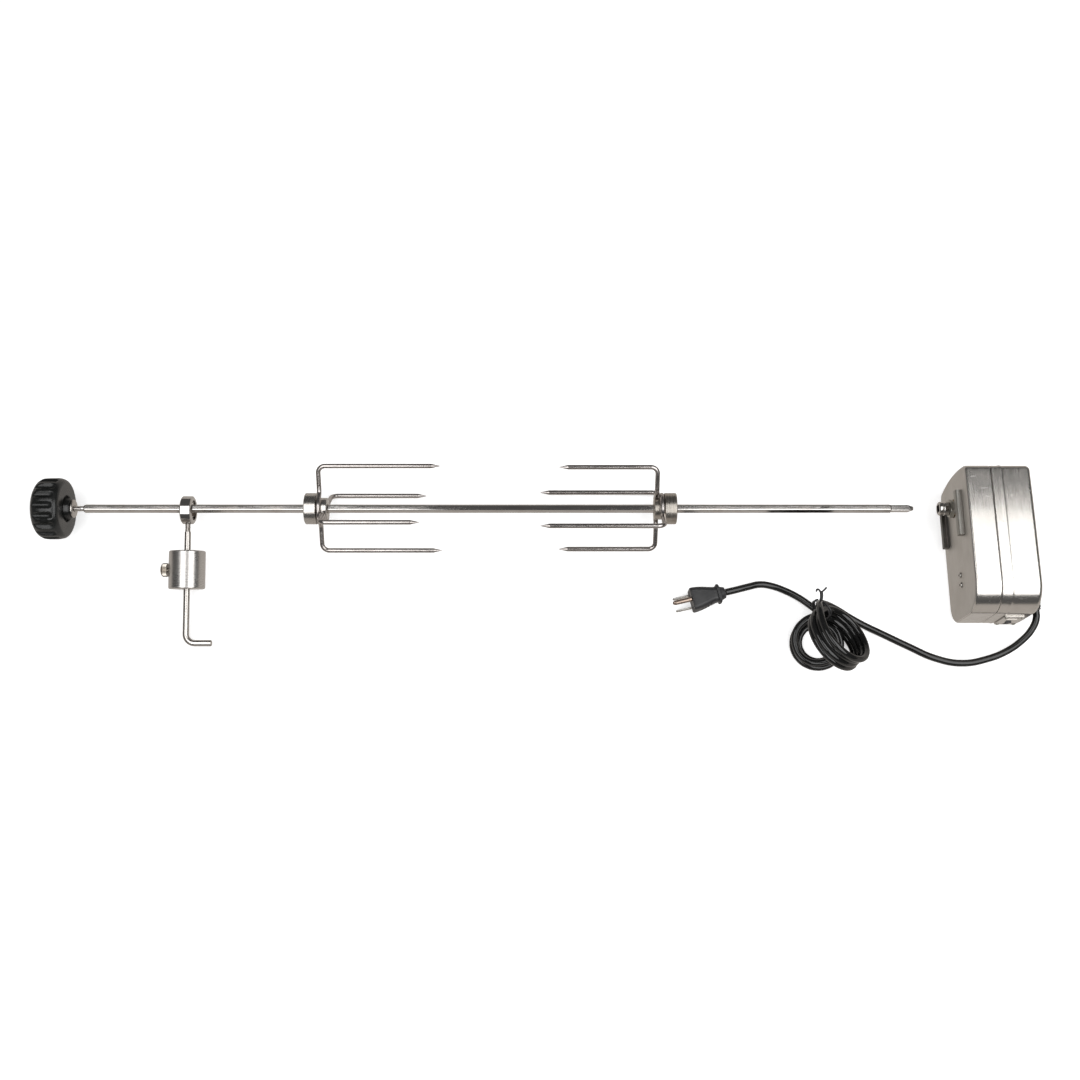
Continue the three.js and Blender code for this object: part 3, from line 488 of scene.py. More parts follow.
def finish_piece(thing, look, body, nodes, bevel=0.0, sharp=35, segments=3):
    """Shading, edges, material and what the piece stands for."""
    mesh = thing.data
    mesh.materials.clear()
    mesh.materials.append(look)
    mesh.shade_smooth()
    mesh.set_sharp_from_angle(angle=math.radians(sharp))
    if bevel:
        round_edges(thing, bevel, segments, sharp)
    weighted = thing.modifiers.new("normals", "WEIGHTED_NORMAL")
    weighted.keep_sharp = True
    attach(thing, body)
    if nodes:
        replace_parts(thing, *nodes)
    return thing


def add(name, shape, look, body, nodes, place=SPIT, cuts=(), joins=(), bevel=0.0, sharp=35,
        segments=3):
    thing = new_object(name, shape, place)
    if joins:
        boolean(thing, [new_object("join", s, place) for s in joins], "UNION")
    if cuts:
        boolean(thing, [new_object("cut", s, place) for s in cuts], "DIFFERENCE")
    return finish_piece(thing, look, body, nodes, bevel, sharp, segments)


# ---------- spit rod ----------

ROD_FLAT = 7.94 / 2
ROD_CORNER = 4.42
ROD_START, ROD_END, THREAD_END = -459, 352, -486
THREAD_R, PITCH, THREAD_DEPTH = 2.8, 1.25, 0.5
TIP_HALF, TIP_POINT, TIP_TAPER = 3.25, 1.5, 5.5
ROD_SIDES = 72


def hexagon(angle, flat=ROD_FLAT, corner=ROD_CORNER):
    """Radius of a hexagon with slightly rounded corners at 0 and 60 degrees."""
    off = (angle % (TAU / 6)) - TAU / 12
    return min(flat / math.cos(off), corner)


def square_tip(angle, half):
    """Radius of a square whose sides are half away from its middle."""
    off = (angle % (TAU / 4)) - TAU / 8
    return half / math.cos(abs(off) - TAU / 8) if off else half * math.sqrt(2)


def thread_cut(x, angle):
    """0 on a thread's crest, 1 at its root."""
    ridge = abs(2 * ((x / PITCH - angle / TAU) % 1) - 1)
    return min(1, max(0, 1.25 - 1.5 * ridge))


def rod_radius(x, angle):
    """Radius along the rod: threaded neck, chamfer, hexagon and tapered square tip."""
    if x < ROD_START + 0.05:
        thread = THREAD_R - THREAD_DEPTH * thread_cut(x, angle)
        fade = min(1, max(0, (ROD_START - 2.4 - x) / 1.2))
        end = min(1, (x - THREAD_END) / 0.8)
        return (thread * fade + (THREAD_R - 0.15) * (1 - fade)) * (0.8 + 0.2 * end)
    if x < ROD_START + 1.6:
        t = (x - ROD_START) / 1.6
        return min(hexagon(angle), THREAD_R + 0.4 + (ROD_CORNER - THREAD_R - 0.4) * t)
    if x <= ROD_END:
        return hexagon(angle)
    half = TIP_HALF
    if x > TIP_END - TIP_TAPER:
        half = TIP_HALF - (TIP_HALF - TIP_POINT) * (x - (TIP_END - TIP_TAPER)) / TIP_TAPER
    return min(hexagon(angle), square_tip(angle, half), TIP_HALF * 1.36)


thread_stations = [THREAD_END + i * PITCH / 8 for i in range(int(27 / (PITCH / 8)))]
rod_stations = thread_stations + [ROD_START, ROD_START + 0.06]
rod_stations += [ROD_START + 0.4 * i for i in range(1, 5)]
rod_stations += [-300 + 60 * i for i in range(0, 11)]
rod_stations += [ROD_END - 0.02, ROD_END + 1.2, TIP_END - TIP_TAPER, TIP_END - 0.6, TIP_END]
rod_stations = sorted(set(rod_stations))
add("spit_rod_steel", polar(rod_stations, ROD_SIDES, rod_radius), CHROME, "spit", ["spit_rod"],
    sharp=22)

# ---------- handle ----------

KNOB_X0, KNOB_X1, KNOB_R = -508, -476, 31
FLUTES, FLUTE_DEPTH = 18, 2.6


def knob_profile():
    """(x, radius) from the middle of the outer face, over the rim, to the inner face."""
    return [(KNOB_X0, 0), (KNOB_X0 + 0.5, 10), (KNOB_X0 + 1.6, 18), (KNOB_X0 + 3.4, 24),
             (KNOB_X0 + 6.2, 28.2), (KNOB_X0 + 10.5, 30.6), (KNOB_X0 + 15, KNOB_R),
             (KNOB_X1 - 9, KNOB_R), (KNOB_X1 - 5, 30.6), (KNOB_X1 - 1.8, 29.2), (KNOB_X1 - 0.3, 27.2),
             (KNOB_X1, 25.5)]


def flute(x, angle):
    """How deep the grip's flutes are, running out towards the inner face."""
    share = max(0.0, math.cos(FLUTES * angle) * 0.5 + 0.32) / 0.82
    scoop = 1 - (1 - min(1.0, share)) ** 1.15
    tail = min(1.0, max(0.0, (KNOB_X1 - 4.2 - x) / 5.0))
    return FLUTE_DEPTH * scoop * math.sqrt(1 - (1 - tail) ** 2)


def knob_shape():
    """The fluted grip, then the recess, boss and bore of its inner face."""
    sides = FLUTES * 14
    rings = [ring_at(x, sides, lambda a: max(min(r, KNOB_R - flute(x, a)), 1e-3))
             for x, r in soften(knob_profile(), 1.6, 3)]
    face = [(KNOB_X1, 14.2), (KNOB_X1 - 0.5, 13.4), (KNOB_X1 - 3.0, 13.0), (KNOB_X1 - 3.0, 11.6),
            (KNOB_X1 + 4.5, 10.2), (KNOB_X1 + 5.0, 9.7), (KNOB_X1 + 5.0, 7.3), (KNOB_X1 - 12.0, 7.3),
            (KNOB_X1 - 12.0, 0)]
    rings += [ring_at(x, sides, lambda a: max(r, 1e-3)) for x, r in soften(face, 0.6, 2)]
    return loft(rings)


add("knob_grip", knob_shape(), KNOB_PLASTIC, "knob", ["handle_knob"], sharp=42)

# The brass-threaded sleeve, with a turned flange that shows at the knob's face.
insert = [(-487.7, 3.1), (-487.7, 7.0), (-470.7, 7.0), (-470.7, 8.9), (-470.1, 9.2), (-469.0, 9.2),
          (-468.3, 8.4), (-468.0, 6.4), (-468.0, 3.6), (-468.9, 3.1)]
add("knob_sleeve", turned(soften(insert, 0.35, 2, True), 48, True), PLATED, "knob", ["knob_insert"])

# ---------- counterweight ----------

RING_X, RING_DROP, ARM_SLOPE = -355.5, 5.1, math.radians(11.75)
BALANCE = SPIT @ Matrix.Translation((RING_X, 0, -RING_DROP)) @ Matrix.Rotation(ARM_SLOPE, 4, "X")
ARM_R, ARM_THREAD_R = 3.175, 2.8
ARM_START, ARM_SHOULDER, ARM_LENGTH, ARM_BEND, ARM_FOOT = 10.4, 22, 134, 9, 26
WEIGHT_CENTRE, WEIGHT_R, WEIGHT_HALF, WEIGHT_BORE = 60.5, 18, 19.25, 3.5
# Turned pieces on the arm are drawn along X and laid along the arm's -Y.
DOWN_ARM = BALANCE @ Matrix.Rotation(-math.pi / 2, 4, "Z")

collar = [(-5.85, 10.0), (-5.85, 12.6), (-4.7, 14.25), (4.7, 14.25), (5.85, 12.6), (5.85, 10.0)]
stud_hole = turned([(6, 3.1), (20, 3.1)], 32)
ring_piece = new_object("balance_collar", turned(soften(collar, 0.4, 3, True), 96, True), BALANCE)
boolean(ring_piece, [new_object("cut", stud_hole, DOWN_ARM)], "DIFFERENCE")
finish_piece(ring_piece, CHROME, "balance_ring", ["balance_ring"])


def arm_radius(x, angle):
    """Radius of the threaded stud above the arm's shoulder."""
    if x > ARM_SHOULDER - 0.01:
        return ARM_R
    return ARM_THREAD_R - 0.45 * thread_cut(x, angle)


def arm_route():
    """From the shoulder down the arm and round the bend to the foot."""
    straight_end = ARM_LENGTH - ARM_BEND
    route = [(0, -ARM_SHOULDER - 1.0, 0), (0, -straight_end, 0)]
    for i in range(1, 13):
        a = math.pi / 2 * i / 12
        route.append((ARM_BEND * (1 - math.cos(a)), -straight_end - ARM_BEND * math.sin(a), 0))
    return route + [(ARM_FOOT - short, -ARM_LENGTH, 0) for short in (0.7, 0.2, 0)]


route = arm_route()
arm_radii = [ARM_R] * (len(route) - 2) + [ARM_R - 0.2, ARM_R - 0.6]
arm_piece = new_object("balance_arm_steel", tube(route, arm_radii, 32), BALANCE)
stud = [ARM_START + i * 0.156 for i in range(int((ARM_SHOULDER - ARM_START) / 0.156))]
stud += [ARM_SHOULDER, ARM_SHOULDER + 0.4, ARM_SHOULDER + 1.6]
boolean(arm_piece, [new_object("join", polar(stud, 48, arm_radius), DOWN_ARM)], "UNION")
finish_piece(arm_piece, PLATED, "balance_arm", ["balance_rod"], sharp=30)

weight = [(-WEIGHT_HALF, WEIGHT_BORE + 0.5), (-WEIGHT_HALF + 0.5, WEIGHT_BORE),
          (WEIGHT_HALF - 0.5, WEIGHT_BORE), (WEIGHT_HALF, WEIGHT_BORE + 0.5),
          (WEIGHT_HALF, WEIGHT_R - 0.9), (WEIGHT_HALF - 0.9, WEIGHT_R),
          (-WEIGHT_HALF + 0.9, WEIGHT_R), (-WEIGHT_HALF, WEIGHT_R - 0.9)]
weight = [(x + WEIGHT_CENTRE, r) for x, r in weight]
weight_shape = turned(soften(weight, 0.3, 2, True), 128, True)
weight_piece = new_object("balance_weight_steel", weight_shape, DOWN_ARM)
screw_hole = turned([(-25, 2.8), (0, 2.8)], 32, centre=(-WEIGHT_CENTRE, 0))
boolean(weight_piece, [new_object("cut", screw_hole, BALANCE)], "DIFFERENCE")
finish_piece(weight_piece, TURNED_Y, "balance_weight", ["balance_weight"])


def knurl(x, angle, low, high, ridges, depth):
    """Depth of straight knurling between two x."""
    if not low < x < high:
        return 0.0
    return depth * (0.5 - 0.5 * math.cos(ridges * angle))


def thumbscrew(head, shank, shank_r, ridges, depth):
    """A screw drawn along X from its domed head at low x to its shank's end."""
    (x0, x1), r = head, shank

    def radius(x, angle):
        if x > x1:
            return shank_r if x < x1 + 0.3 else shank_r - 0.25 * (0.5 - 0.5 * math.cos(TAU * x - angle))
        dome = min(1.0, (x - x0) / 2.6)
        body = r * math.sqrt(max(0.0, 1 - (1 - dome) ** 2) * 0.75 + 0.25)
        body = min(body, r - max(0.0, 0.6 - (x1 - x)) * 0.8)
        return body - knurl(x, angle, x0 + 1.6, x1 - 0.5, ridges, depth)

    return radius


screw_stations = [-26, -25.9, -25.7, -25.3, -24.8, -24.4, -24.39, -23.9, -23.4]
screw_stations += [-19.51, -19.5, -19.2, -19.0, -18.99, -18.7]
screw_stations += [-18.5 + 0.125 * i for i in range(116)] + [-3.8]
head_radius = thumbscrew((-26, -19), 7, 2.5, 30, 0.7)


def weight_screw_radius(x, angle):
    return max(head_radius(x, angle), 0.05)


WEIGHT_SCREW = BALANCE @ Matrix.Translation((0, -WEIGHT_CENTRE, 0))
add("weight_thumbscrew_steel", polar(screw_stations, 120, weight_screw_radius), TURNED_X, "weight_screw",
    ["weight_thumbscrew"], place=WEIGHT_SCREW, sharp=30)

# ---------- forks ----------

HUB_R, HUB_LENGTH, SPIGOT_R, FORK_LENGTH, FORK_BORE = 15.8, 12, 11, 22.5, 5
WIRE_R, CIRCLE, WIRE_BEND, WRAP_R, POINT = 2.38, 44.5, 7, 13.75, 9
LONG_TINE, SHORT_TINE = 122, 98.5


def hub_shape():
    profile = [(0, FORK_BORE + 0.6), (0, HUB_R - 0.7), (0.7, HUB_R), (HUB_LENGTH - 0.5, HUB_R),
               (HUB_LENGTH, HUB_R - 0.5), (HUB_LENGTH, SPIGOT_R), (FORK_LENGTH - 0.8, SPIGOT_R),
               (FORK_LENGTH, SPIGOT_R - 0.8), (FORK_LENGTH, FORK_BORE + 0.6), (FORK_LENGTH - 0.6, FORK_BORE),
               (0.6, FORK_BORE)]
    return turned(soften(profile, 0.25, 2, True), 96, True)


def spline(points, steps):
    """A smooth route through points."""
    pts = [Vector(p) for p in points]
    route = []
    for i in range(len(pts) - 1):
        p0, p1, p2, p3 = pts[max(i - 1, 0)], pts[i], pts[i + 1], pts[min(i + 2, len(pts) - 1)]
        for k in range(steps):
            t = k / steps
            route.append(0.5 * (2 * p1 + (p2 - p0) * t + (2 * p0 - 5 * p1 + 4 * p2 - p3) * t * t
                                + (3 * p1 - p0 - 3 * p2 + p3) * t ** 3))
    return route + [pts[-1]]


def tine_pair(plane, length):
    """Two spikes bent from one wire that wraps half round the spigot, with ground points."""
    tip = plane + length
    spike = [(tip, CIRCLE, 0), (tip - 0.35, CIRCLE, 0), (tip - 3, CIRCLE, 0), (tip - 6, CIRCLE, 0),
             (tip - 8.4, CIRCLE, 0), (tip - POINT, CIRCLE, 0), (tip - POINT - 0.6, CIRCLE, 0)]
    radii = [0.12, 0.38, 0.95, 1.6, 2.18, 2.33, WIRE_R]
    for i in range(11):
        a = math.pi / 2 * i / 10
        spike.append((plane + WIRE_BEND * (1 - math.sin(a)), CIRCLE - WIRE_BEND * (1 - math.cos(a)), 0))
    turn_in = [(plane, 26, 0), (plane, 23, 0), (plane, 17.8, 0.5), (plane, 14.6, 3.2)]
    wrap = [(plane, WRAP_R * math.cos(math.radians(a)), WRAP_R * math.sin(math.radians(a)))
            for a in range(30, 151, 24)]
    back = [(x, -u, v) for x, u, v in reversed(turn_in)]
    middle = spline(turn_in + wrap + back, 4)
    other = [(x, -u, v) for x, u, v in reversed(spike)]
    route = spike + [tuple(p) for p in middle] + other
    all_radii = radii + [WIRE_R] * (len(route) - 2 * len(radii)) + radii[::-1]
    return tube(route, all_radii, 20)


def fork(side, body, screw_body, x, turned_round, long_angle, short_angle, hub_look):
    """A hub on the spit at x with its two pairs of tines and its screw."""
    place = SPIT @ Matrix.Translation((x, 0, 0))
    if turned_round:
        place = place @ Matrix.Rotation(math.pi, 4, "Z")
    hub = new_object(side + "_hub_steel", hub_shape(), place)
    down = place @ Matrix.Translation((HUB_LENGTH / 2, 0, 0)) @ Matrix.Rotation(math.pi / 2, 4, "Y")
    boolean(hub, [new_object("cut", turned([(2, 2.3), (20, 2.3)], 24), down)], "DIFFERENCE")
    finish_piece(hub, hub_look, body, [side + "_fork_hub"])
    long_plane = HUB_LENGTH + 0.3 + WIRE_R
    for kind, plane, length, angle in (("long", long_plane, LONG_TINE, long_angle),
                                       ("short", long_plane + 2 * WIRE_R + 0.3, SHORT_TINE, short_angle)):
        turn = place @ Matrix.Rotation(math.radians(angle), 4, "X")
        add(f"{side}_{kind}_wire", tine_pair(plane, length), WIRE, body, [f"{side}_{kind}_tines"],
            place=turn, sharp=50)
    # The screw is drawn along X from its head and laid under the hub.
    up = place @ Matrix.Translation((HUB_LENGTH / 2, 0, 0)) @ Matrix.Rotation(-math.pi / 2, 4, "Y")
    head = thumbscrew((-27, -18.5), 5, 2, 20, 0.5)
    stations = [-27, -26.9, -26.6, -26.2, -25.6, -25.4, -25.39, -24.9]
    stations += [-19.01, -19.0, -18.6, -18.5, -18.49, -18.2]
    stations += [-18.0 + 0.125 * i for i in range(104)]
    add(side + "_fork_screw_steel", polar(stations, 80, lambda x, a: max(head(x, a), 0.05)), PLATED,
        screw_body, [side + "_fork_screw"], place=up, sharp=30)


fork("left", "left_fork", "left_screw", -236, False, 34.7, 124.7, PLATED)
fork("right", "right_fork", "right_screw", 137, True, 50.5, 140.5, TURNED_X)

# ---------- motor housing ----------

BOX_X0, BOX_X1, BOX_Y0, BOX_Y1, BOX_Z0, BOX_Z1 = 416.3, 481.3, -112.6, 34.5, 0.0, 84.0
NEAR_TOP, NEAR_BASE, FAR_CORNER, CROWN, CROWN_Z = 28, 18, 9, 160, 52
TOP_DIP, TOP_DIP_START = 1.4, -25
WALL, SEAM_X, FRONT_RIM, REAR_RIM, BEAD_X = 1.2, 441.9, 3, 4.5, 451.5


def top_dip(y):
    """How far the top face has sunk towards its +Y end."""
    return TOP_DIP * max(0.0, (y - TOP_DIP_START) / (BOX_Y1 - TOP_DIP_START)) ** 2


def arc(centre, radius, start, end, steps):
    """Points of a circle's arc in (y, z), angles in radians."""
    places = []
    for i in range(steps + 1):
        a = start + (end - start) * i / steps
        places.append((centre[0] + radius * math.cos(a), centre[1] + radius * math.sin(a)))
    return places


def housing_outline(inset, steps=14):
    """The housing's outline in (y, z), shrunk by inset: its +Y end bulges on a large radius."""
    near, base, far, crown = (r - inset for r in (NEAR_TOP, NEAR_BASE, FAR_CORNER, CROWN))
    y0, y1, z0, z1 = BOX_Y0 + inset, BOX_Y1 - inset, BOX_Z0 + inset, BOX_Z1 - inset
    crown_y, reach, right = y1 - crown, crown - far, math.pi / 2
    low, high = math.asin((CROWN_Z - z0 - far) / reach), math.asin((z1 - far - CROWN_Z) / reach)
    low_y, high_y = crown_y + reach * math.cos(low), crown_y + reach * math.cos(high)
    points = arc((crown_y, CROWN_Z), crown, -low, high, 14)[:-1]
    points += arc((high_y, z1 - far), far, high, right, steps)
    points += [(high_y + (y0 + near - high_y) * t, z1) for t in (0.1, 0.2, 0.3, 0.4)]
    points += arc((y0 + near, z1 - near), near, right, 2 * right, steps)
    points += arc((y0 + base, z0 + base), base, 2 * right, 3 * right, steps)
    points += arc((low_y, z0 + far), far, -right, -low, steps)[:-1]
    return [(y, max(min(z, z1 - top_dip(y)), 0.02)) for y, z in points]


def rim(x, radius, direction, inset=0.0, steps=6):
    """(x, inset) stations round a rim that starts flat at x and ends on the side wall."""
    return [(x + direction * radius * (1 - math.cos(math.pi / 2 * i / steps)),
             inset + radius * (1 - math.sin(math.pi / 2 * i / steps))) for i in range(steps + 1)]


def shell(stations):
    return loft([outline_x(housing_outline(inset), x) for x, inset in stations])


# How the shells roll in at the seam: the distance from it, and the drop below the side wall.
SEAM_EDGE = [(1.6, 0), (0.8, 0.06), (0.3, 0.35), (0.15, 0.6)]


def front_shell_shape():
    outside = rim(BOX_X0, FRONT_RIM, 1) + [(SEAM_X - out, drop) for out, drop in SEAM_EDGE]
    inside = [(SEAM_X - 0.15, WALL)] + rim(BOX_X0 + WALL, FRONT_RIM - WALL, 1, WALL)[::-1]
    return shell(outside + inside)


def rear_shell_shape():
    half = [(2.6, 0), (1.8, -0.06), (1.0, -0.24), (0.4, -0.38)]
    bead = [(BEAD_X - out, rise) for out, rise in half]
    bead += [(BEAD_X + out, rise) for out, rise in reversed(half)]
    outside = [(SEAM_X + out, drop) for out, drop in reversed(SEAM_EDGE)] + bead
    outside += rim(BOX_X1, REAR_RIM, -1)[::-1]
    inside = rim(BOX_X1 - WALL, REAR_RIM - WALL, -1, WALL) + [(SEAM_X + 0.15, WALL)]
    return shell(outside + inside)


def hole_x(r, x0, x1, y, z, sides=32):
    """A round cutter along X."""
    return turned([(x0, r), (x1, r)], sides, centre=(y, z))


FACE_SCREWS = [(-70, 42), (-80, 42)]
SHELL_SCREWS = [(14, 39), (-80, 66)]
SWITCH_X, SWITCH_Z, ROCKER_WIDE, ROCKER_TALL, ROCKER_GAP = 464, 23.5, 5, 12, 0.3
RELIEF_Y, RELIEF_Z, RELIEF_X, RELIEF_END = -72, 22, 495, -100
MOUTH_R, SCREW_HOLE_R, RELIEF_HOLE_R = 9.4, 1.9, 5.4


def rocker_hole(start, end):
    """A cutter for the rocker's opening, from start to end past the end face."""
    half_x, half_z = ROCKER_WIDE / 2 + ROCKER_GAP, ROCKER_TALL / 2 + ROCKER_GAP
    return slab((SWITCH_X - half_x, SWITCH_X + half_x), (BOX_Y0 + start, BOX_Y0 + end),
                (SWITCH_Z - half_z, SWITCH_Z + half_z))


front_holes = [hole_x(MOUTH_R, BOX_X0 - 2, BOX_X0 + 4, 0, SPIT_Z, 48)]
front_holes += [hole_x(SCREW_HOLE_R, BOX_X0 - 2, BOX_X0 + 4, y, z) for y, z in FACE_SCREWS]
add("housing_front", front_shell_shape(), STAINLESS, "housing", ["front_shell"],
    place=KIT, cuts=front_holes, sharp=40)
rear_holes = [hole_x(RELIEF_HOLE_R, BOX_X1 - 4, BOX_X1 + 2, RELIEF_Y, RELIEF_Z)]
rear_holes += [hole_x(SCREW_HOLE_R, BOX_X1 - 4, BOX_X1 + 2, y, z) for y, z in SHELL_SCREWS]
rear_holes.append(rocker_hole(-2, 4))
add("housing_rear", rear_shell_shape(), STAINLESS, "housing", ["rear_shell"],
    place=KIT, cuts=rear_holes, sharp=40)


def cross_head(radius, height, shank_r, length, slot_half=1.7):
    """A pan-head screw along X with its head at low x, and its cross slot as cutters."""
    profile = [(-height, 0), (-height, radius * 0.55), (-height * 0.86, radius * 0.8),
               (-height * 0.45, radius), (0, radius), (0, shank_r), (length, shank_r), (length, 0)]
    body = turned(soften(profile, 0.3, 2), 40)
    depth = (-height - 1, -height + 0.85)
    wide, narrow = (-slot_half, slot_half), (-0.3, 0.3)
    slots = [slab(depth, wide, narrow), slab(depth, narrow, wide)]
    return body, slots


for number, (y, z) in enumerate(FACE_SCREWS, 1):
    body, slots = cross_head(3, 1.5, 1.6, 4.6)
    turn = Matrix.Rotation(0.5 * number, 4, "X")
    add(f"chassis_screw_head_{number}", body, STAINLESS, "housing", [f"chassis_screw_{number}"],
        place=KIT @ Matrix.Translation((BOX_X0 - 0.3, y, z)) @ turn, cuts=slots)
for number, (y, z) in enumerate(SHELL_SCREWS, 1):
    body, slots = cross_head(3.2, 1.8, 1.6, 5)
    turn = Matrix.Rotation(math.pi, 4, "Y") @ Matrix.Rotation(0.7 * number, 4, "X")
    add(f"shell_screw_head_{number}", body, ZINC, "housing", [f"shell_screw_{number}"],
        place=KIT @ Matrix.Translation((BOX_X1 + 0.3, y, z)) @ turn, cuts=slots)

# Bracket rails: bent strips with a rounded fold and a stop at the near end.
RAIL_X0, RAIL_Y0, RAIL_Y1, RAIL_SPREAD, RAIL_SHEET, RAIL_LIP = 410.5, -35, 11, 27, 1.4, 5.5


def rail(side):
    """One strip above (side 1) or below (-1) the socket, and the stop at its near end."""
    back, outer = BOX_X0 - 0.3, RAIL_SPREAD + RAIL_SHEET
    outline = [(back, RAIL_SPREAD), (RAIL_X0 + RAIL_SHEET, RAIL_SPREAD),
               (RAIL_X0 + RAIL_SHEET, RAIL_SPREAD - RAIL_LIP), (RAIL_X0, RAIL_SPREAD - RAIL_LIP),
               (RAIL_X0, outer), (back, outer)]
    radii = (0.02, 0.5, 0.35, 0.35, 1.7, 0.02)
    shape = []
    for i, radius in enumerate(radii):
        trio = [outline[i - 1], outline[i], outline[(i + 1) % 6]]
        shape += soften(trio, radius, 4)[1:-1]
    ends = [RAIL_Y0 + 0.2, RAIL_Y1]
    body = loft([[(x, y, side * z) for x, z in shape] for y in ends])
    stop = slab((RAIL_X0 + 0.4, back), (RAIL_Y0, RAIL_Y0 + RAIL_SHEET),
                sorted((side * (RAIL_SPREAD - RAIL_LIP), side * (RAIL_SPREAD + 0.6))))
    return body, stop


# The upper rail takes the mid-grey painted shade, and the lower rail takes the near-black painted shadow.
for word, side in (("upper", 1), ("lower", -1)):
    body, stop = rail(side)
    add(f"rail_{word}", body, RAIL_PAINTED_MID_SHADE if side > 0 else RAIL_SHADED, "housing", [f"bracket_rail_{word}"],
        joins=[stop], bevel=0.15, sharp=50, segments=2)

# ---------- output socket ----------

socket = [(400.8, 0), (400.8, 6.1), (401.7, 7), (404.6, 7), (405.0, 6.55), (405.8, 6.55), (406.2, 7),
          (410.6, 7), (411, 6.5), (437, 6.5), (437, 4), (446, 4), (446, 0)]
add("socket_shaft", turned(soften(socket, 0.25, 2), 64), CHROME, "drive", ["output_socket"],
    cuts=[slab((399, 423), (-3.65, 3.65), (-3.65, 3.65))], bevel=0.2, sharp=40, segments=2)


def nut_radius(x, angle, flat=8.31, low=411.3, high=415.6):
    """Radius of a hexagonal nut with its corners chamfered at both ends."""
    edge = min(x - low, high - x)
    off = (angle % (TAU / 6)) - TAU / 12
    return min(flat / math.cos(off), 8.9 + min(edge, 0.9) * 0.75)


nut_stations = [411.3, 411.5, 411.8, 412.2, 413.4, 414.7, 415.1, 415.4, 415.6]
add("socket_locknut", polar(nut_stations, 96, nut_radius), ZINC, "housing", ["socket_nut"],
    cuts=[hole_x(6.8, 409, 418, 0, 0, 64)], sharp=28)

# ---------- switch ----------

PLATE_X, PLATE_Z = (453.5, 475.0), (15.5, 48.0)


def switch_plate_shape():
    (x0, x1), (z0, z1) = PLATE_X, PLATE_Z
    outline = soften([(x0, z0), (x1, z0), (x1, z1), (x0, z1)], 2.5, 5, True)
    middle = Vector((sum(PLATE_X) / 2, sum(PLATE_Z) / 2))
    rings = []
    for out, scale in ((0.3, 1), (1.1, 1), (1.4, 0.985), (1.5, 0.96)):
        rings.append([((x - middle.x) * scale + middle.x, BOX_Y0 - out, (z - middle.y) * scale + middle.y)
                      for x, z in outline])
    return loft(rings)


END_FACE = Matrix.Rotation(math.pi / 2, 4, "Z")  # turns a screw along X to point into the end face
label_recess = slab((SWITCH_X - 5.5, SWITCH_X + 5.5), (BOX_Y0 - 2, BOX_Y0 - 1.25), (38.8, 43.2))
add("switch_cover", switch_plate_shape(), STAINLESS, "housing", ["switch_plate"],
    place=KIT, cuts=[rocker_hole(-5, 1), label_recess], sharp=30)
for number, (x, z) in enumerate(((456.2, 45.3), (472.3, 45.3), (456.2, 18.2), (472.3, 18.2)), 1):
    body, slots = cross_head(1.7, 0.9, 1.0, 0.2, 1.0)
    add(f"switch_rivet_{number}", body, ZINC, "housing", [],
        place=KIT @ Matrix.Translation((x, BOX_Y0 - 1.5, z)) @ END_FACE, cuts=slots[:1])


def rocker_shape():
    """The rocker's saddle top, one end down, with fine ribs across it."""
    half_z, half_x = ROCKER_TALL / 2, ROCKER_WIDE / 2
    rings = []
    for i in range(25):
        s = -half_z + ROCKER_TALL * i / 24
        top = 1.75 + 0.65 * (s / half_z) - 0.28 * math.cos(math.pi * s / ROCKER_TALL)
        top += 0.09 * math.sin(5.2 * s) if abs(s) < half_z - 0.8 else -0.12
        profile = [(-half_x, 0), (-half_x, top - 0.35), (-half_x + 0.35, top), (half_x - 0.35, top),
                   (half_x, top - 0.35), (half_x, 0)]
        rings.append([(SWITCH_X + x, BOX_Y0 - 0.5 - h, SWITCH_Z + s) for x, h in profile])
    return loft(rings)


add("switch_rocker_cap", rocker_shape(), BLACK_PLASTIC, "rocker", ["switch_rocker"],
    place=KIT, sharp=30)

# ---------- strain relief ----------

def relief_shape():
    """Flange, right-angle bend and a ribbed sleeve that tapers down to the cord."""
    bend, boot_r, end_r = 6.0, 6.5, 4.8
    flange = [(478.0, 4.9), (481.6, 4.9), (481.61, 8.5), (483.9, 8.5), (484.3, 8.1), (484.4, boot_r),
              (488.8, boot_r)]
    route = [(x, RELIEF_Y, RELIEF_Z) for x, r in flange]
    radii = [r for x, r in flange]
    for i in range(1, 13):
        a = math.pi / 2 * i / 12
        route.append((RELIEF_X - bend + bend * math.sin(a), RELIEF_Y - bend + bend * math.cos(a), RELIEF_Z))
        radii.append(boot_r)
    start = RELIEF_Y - bend
    steps = 66
    for i in range(1, steps + 1):
        y = start + (RELIEF_END - start) * i / steps
        share = i / steps
        groove = 0.75 if i % 11 in (6, 7, 8) and i > 8 else 0.0
        route.append((RELIEF_X, y, RELIEF_Z))
        radii.append(boot_r + (end_r - boot_r) * share - groove)
    route.append((RELIEF_X, RELIEF_END - 0.2, RELIEF_Z))
    radii.append(4.4)
    return tube(route, radii, 40)


add("strain_relief_boot", relief_shape(), RUBBER, "housing", ["strain_relief"],
    place=KIT, sharp=50)

# ---------- tie ----------


def tie_wire():
    """The two ends of the tie's wire, twisted together and curling apart."""
    twist = spline([(279, -93, 31), (279.2, -90.5, 33.5), (279.0, -88.0, 35.5), (278.6, -85.5, 37)], 12)
    strands = []
    for phase in (0, math.pi):
        line = []
        for i, point in enumerate(twist):
            a = phase + i * 0.62
            line.append(tuple(point + 0.85 * Vector((math.cos(a), 0.3 * math.sin(a), math.sin(a)))))
        strands.append(line)
    strands[0] += [tuple(p) for p in spline([strands[0][-1], (276.2, -83.6, 37.6), (274.6, -83.0, 36.4),
                                             (274.0, -85.2, 35.6)], 8)[1:]]
    strands[1] += [tuple(p) for p in spline([strands[1][-1], (281.6, -83.8, 38.4),
                                             (283.6, -81.6, 39.6)], 8)[1:]]
    return strands


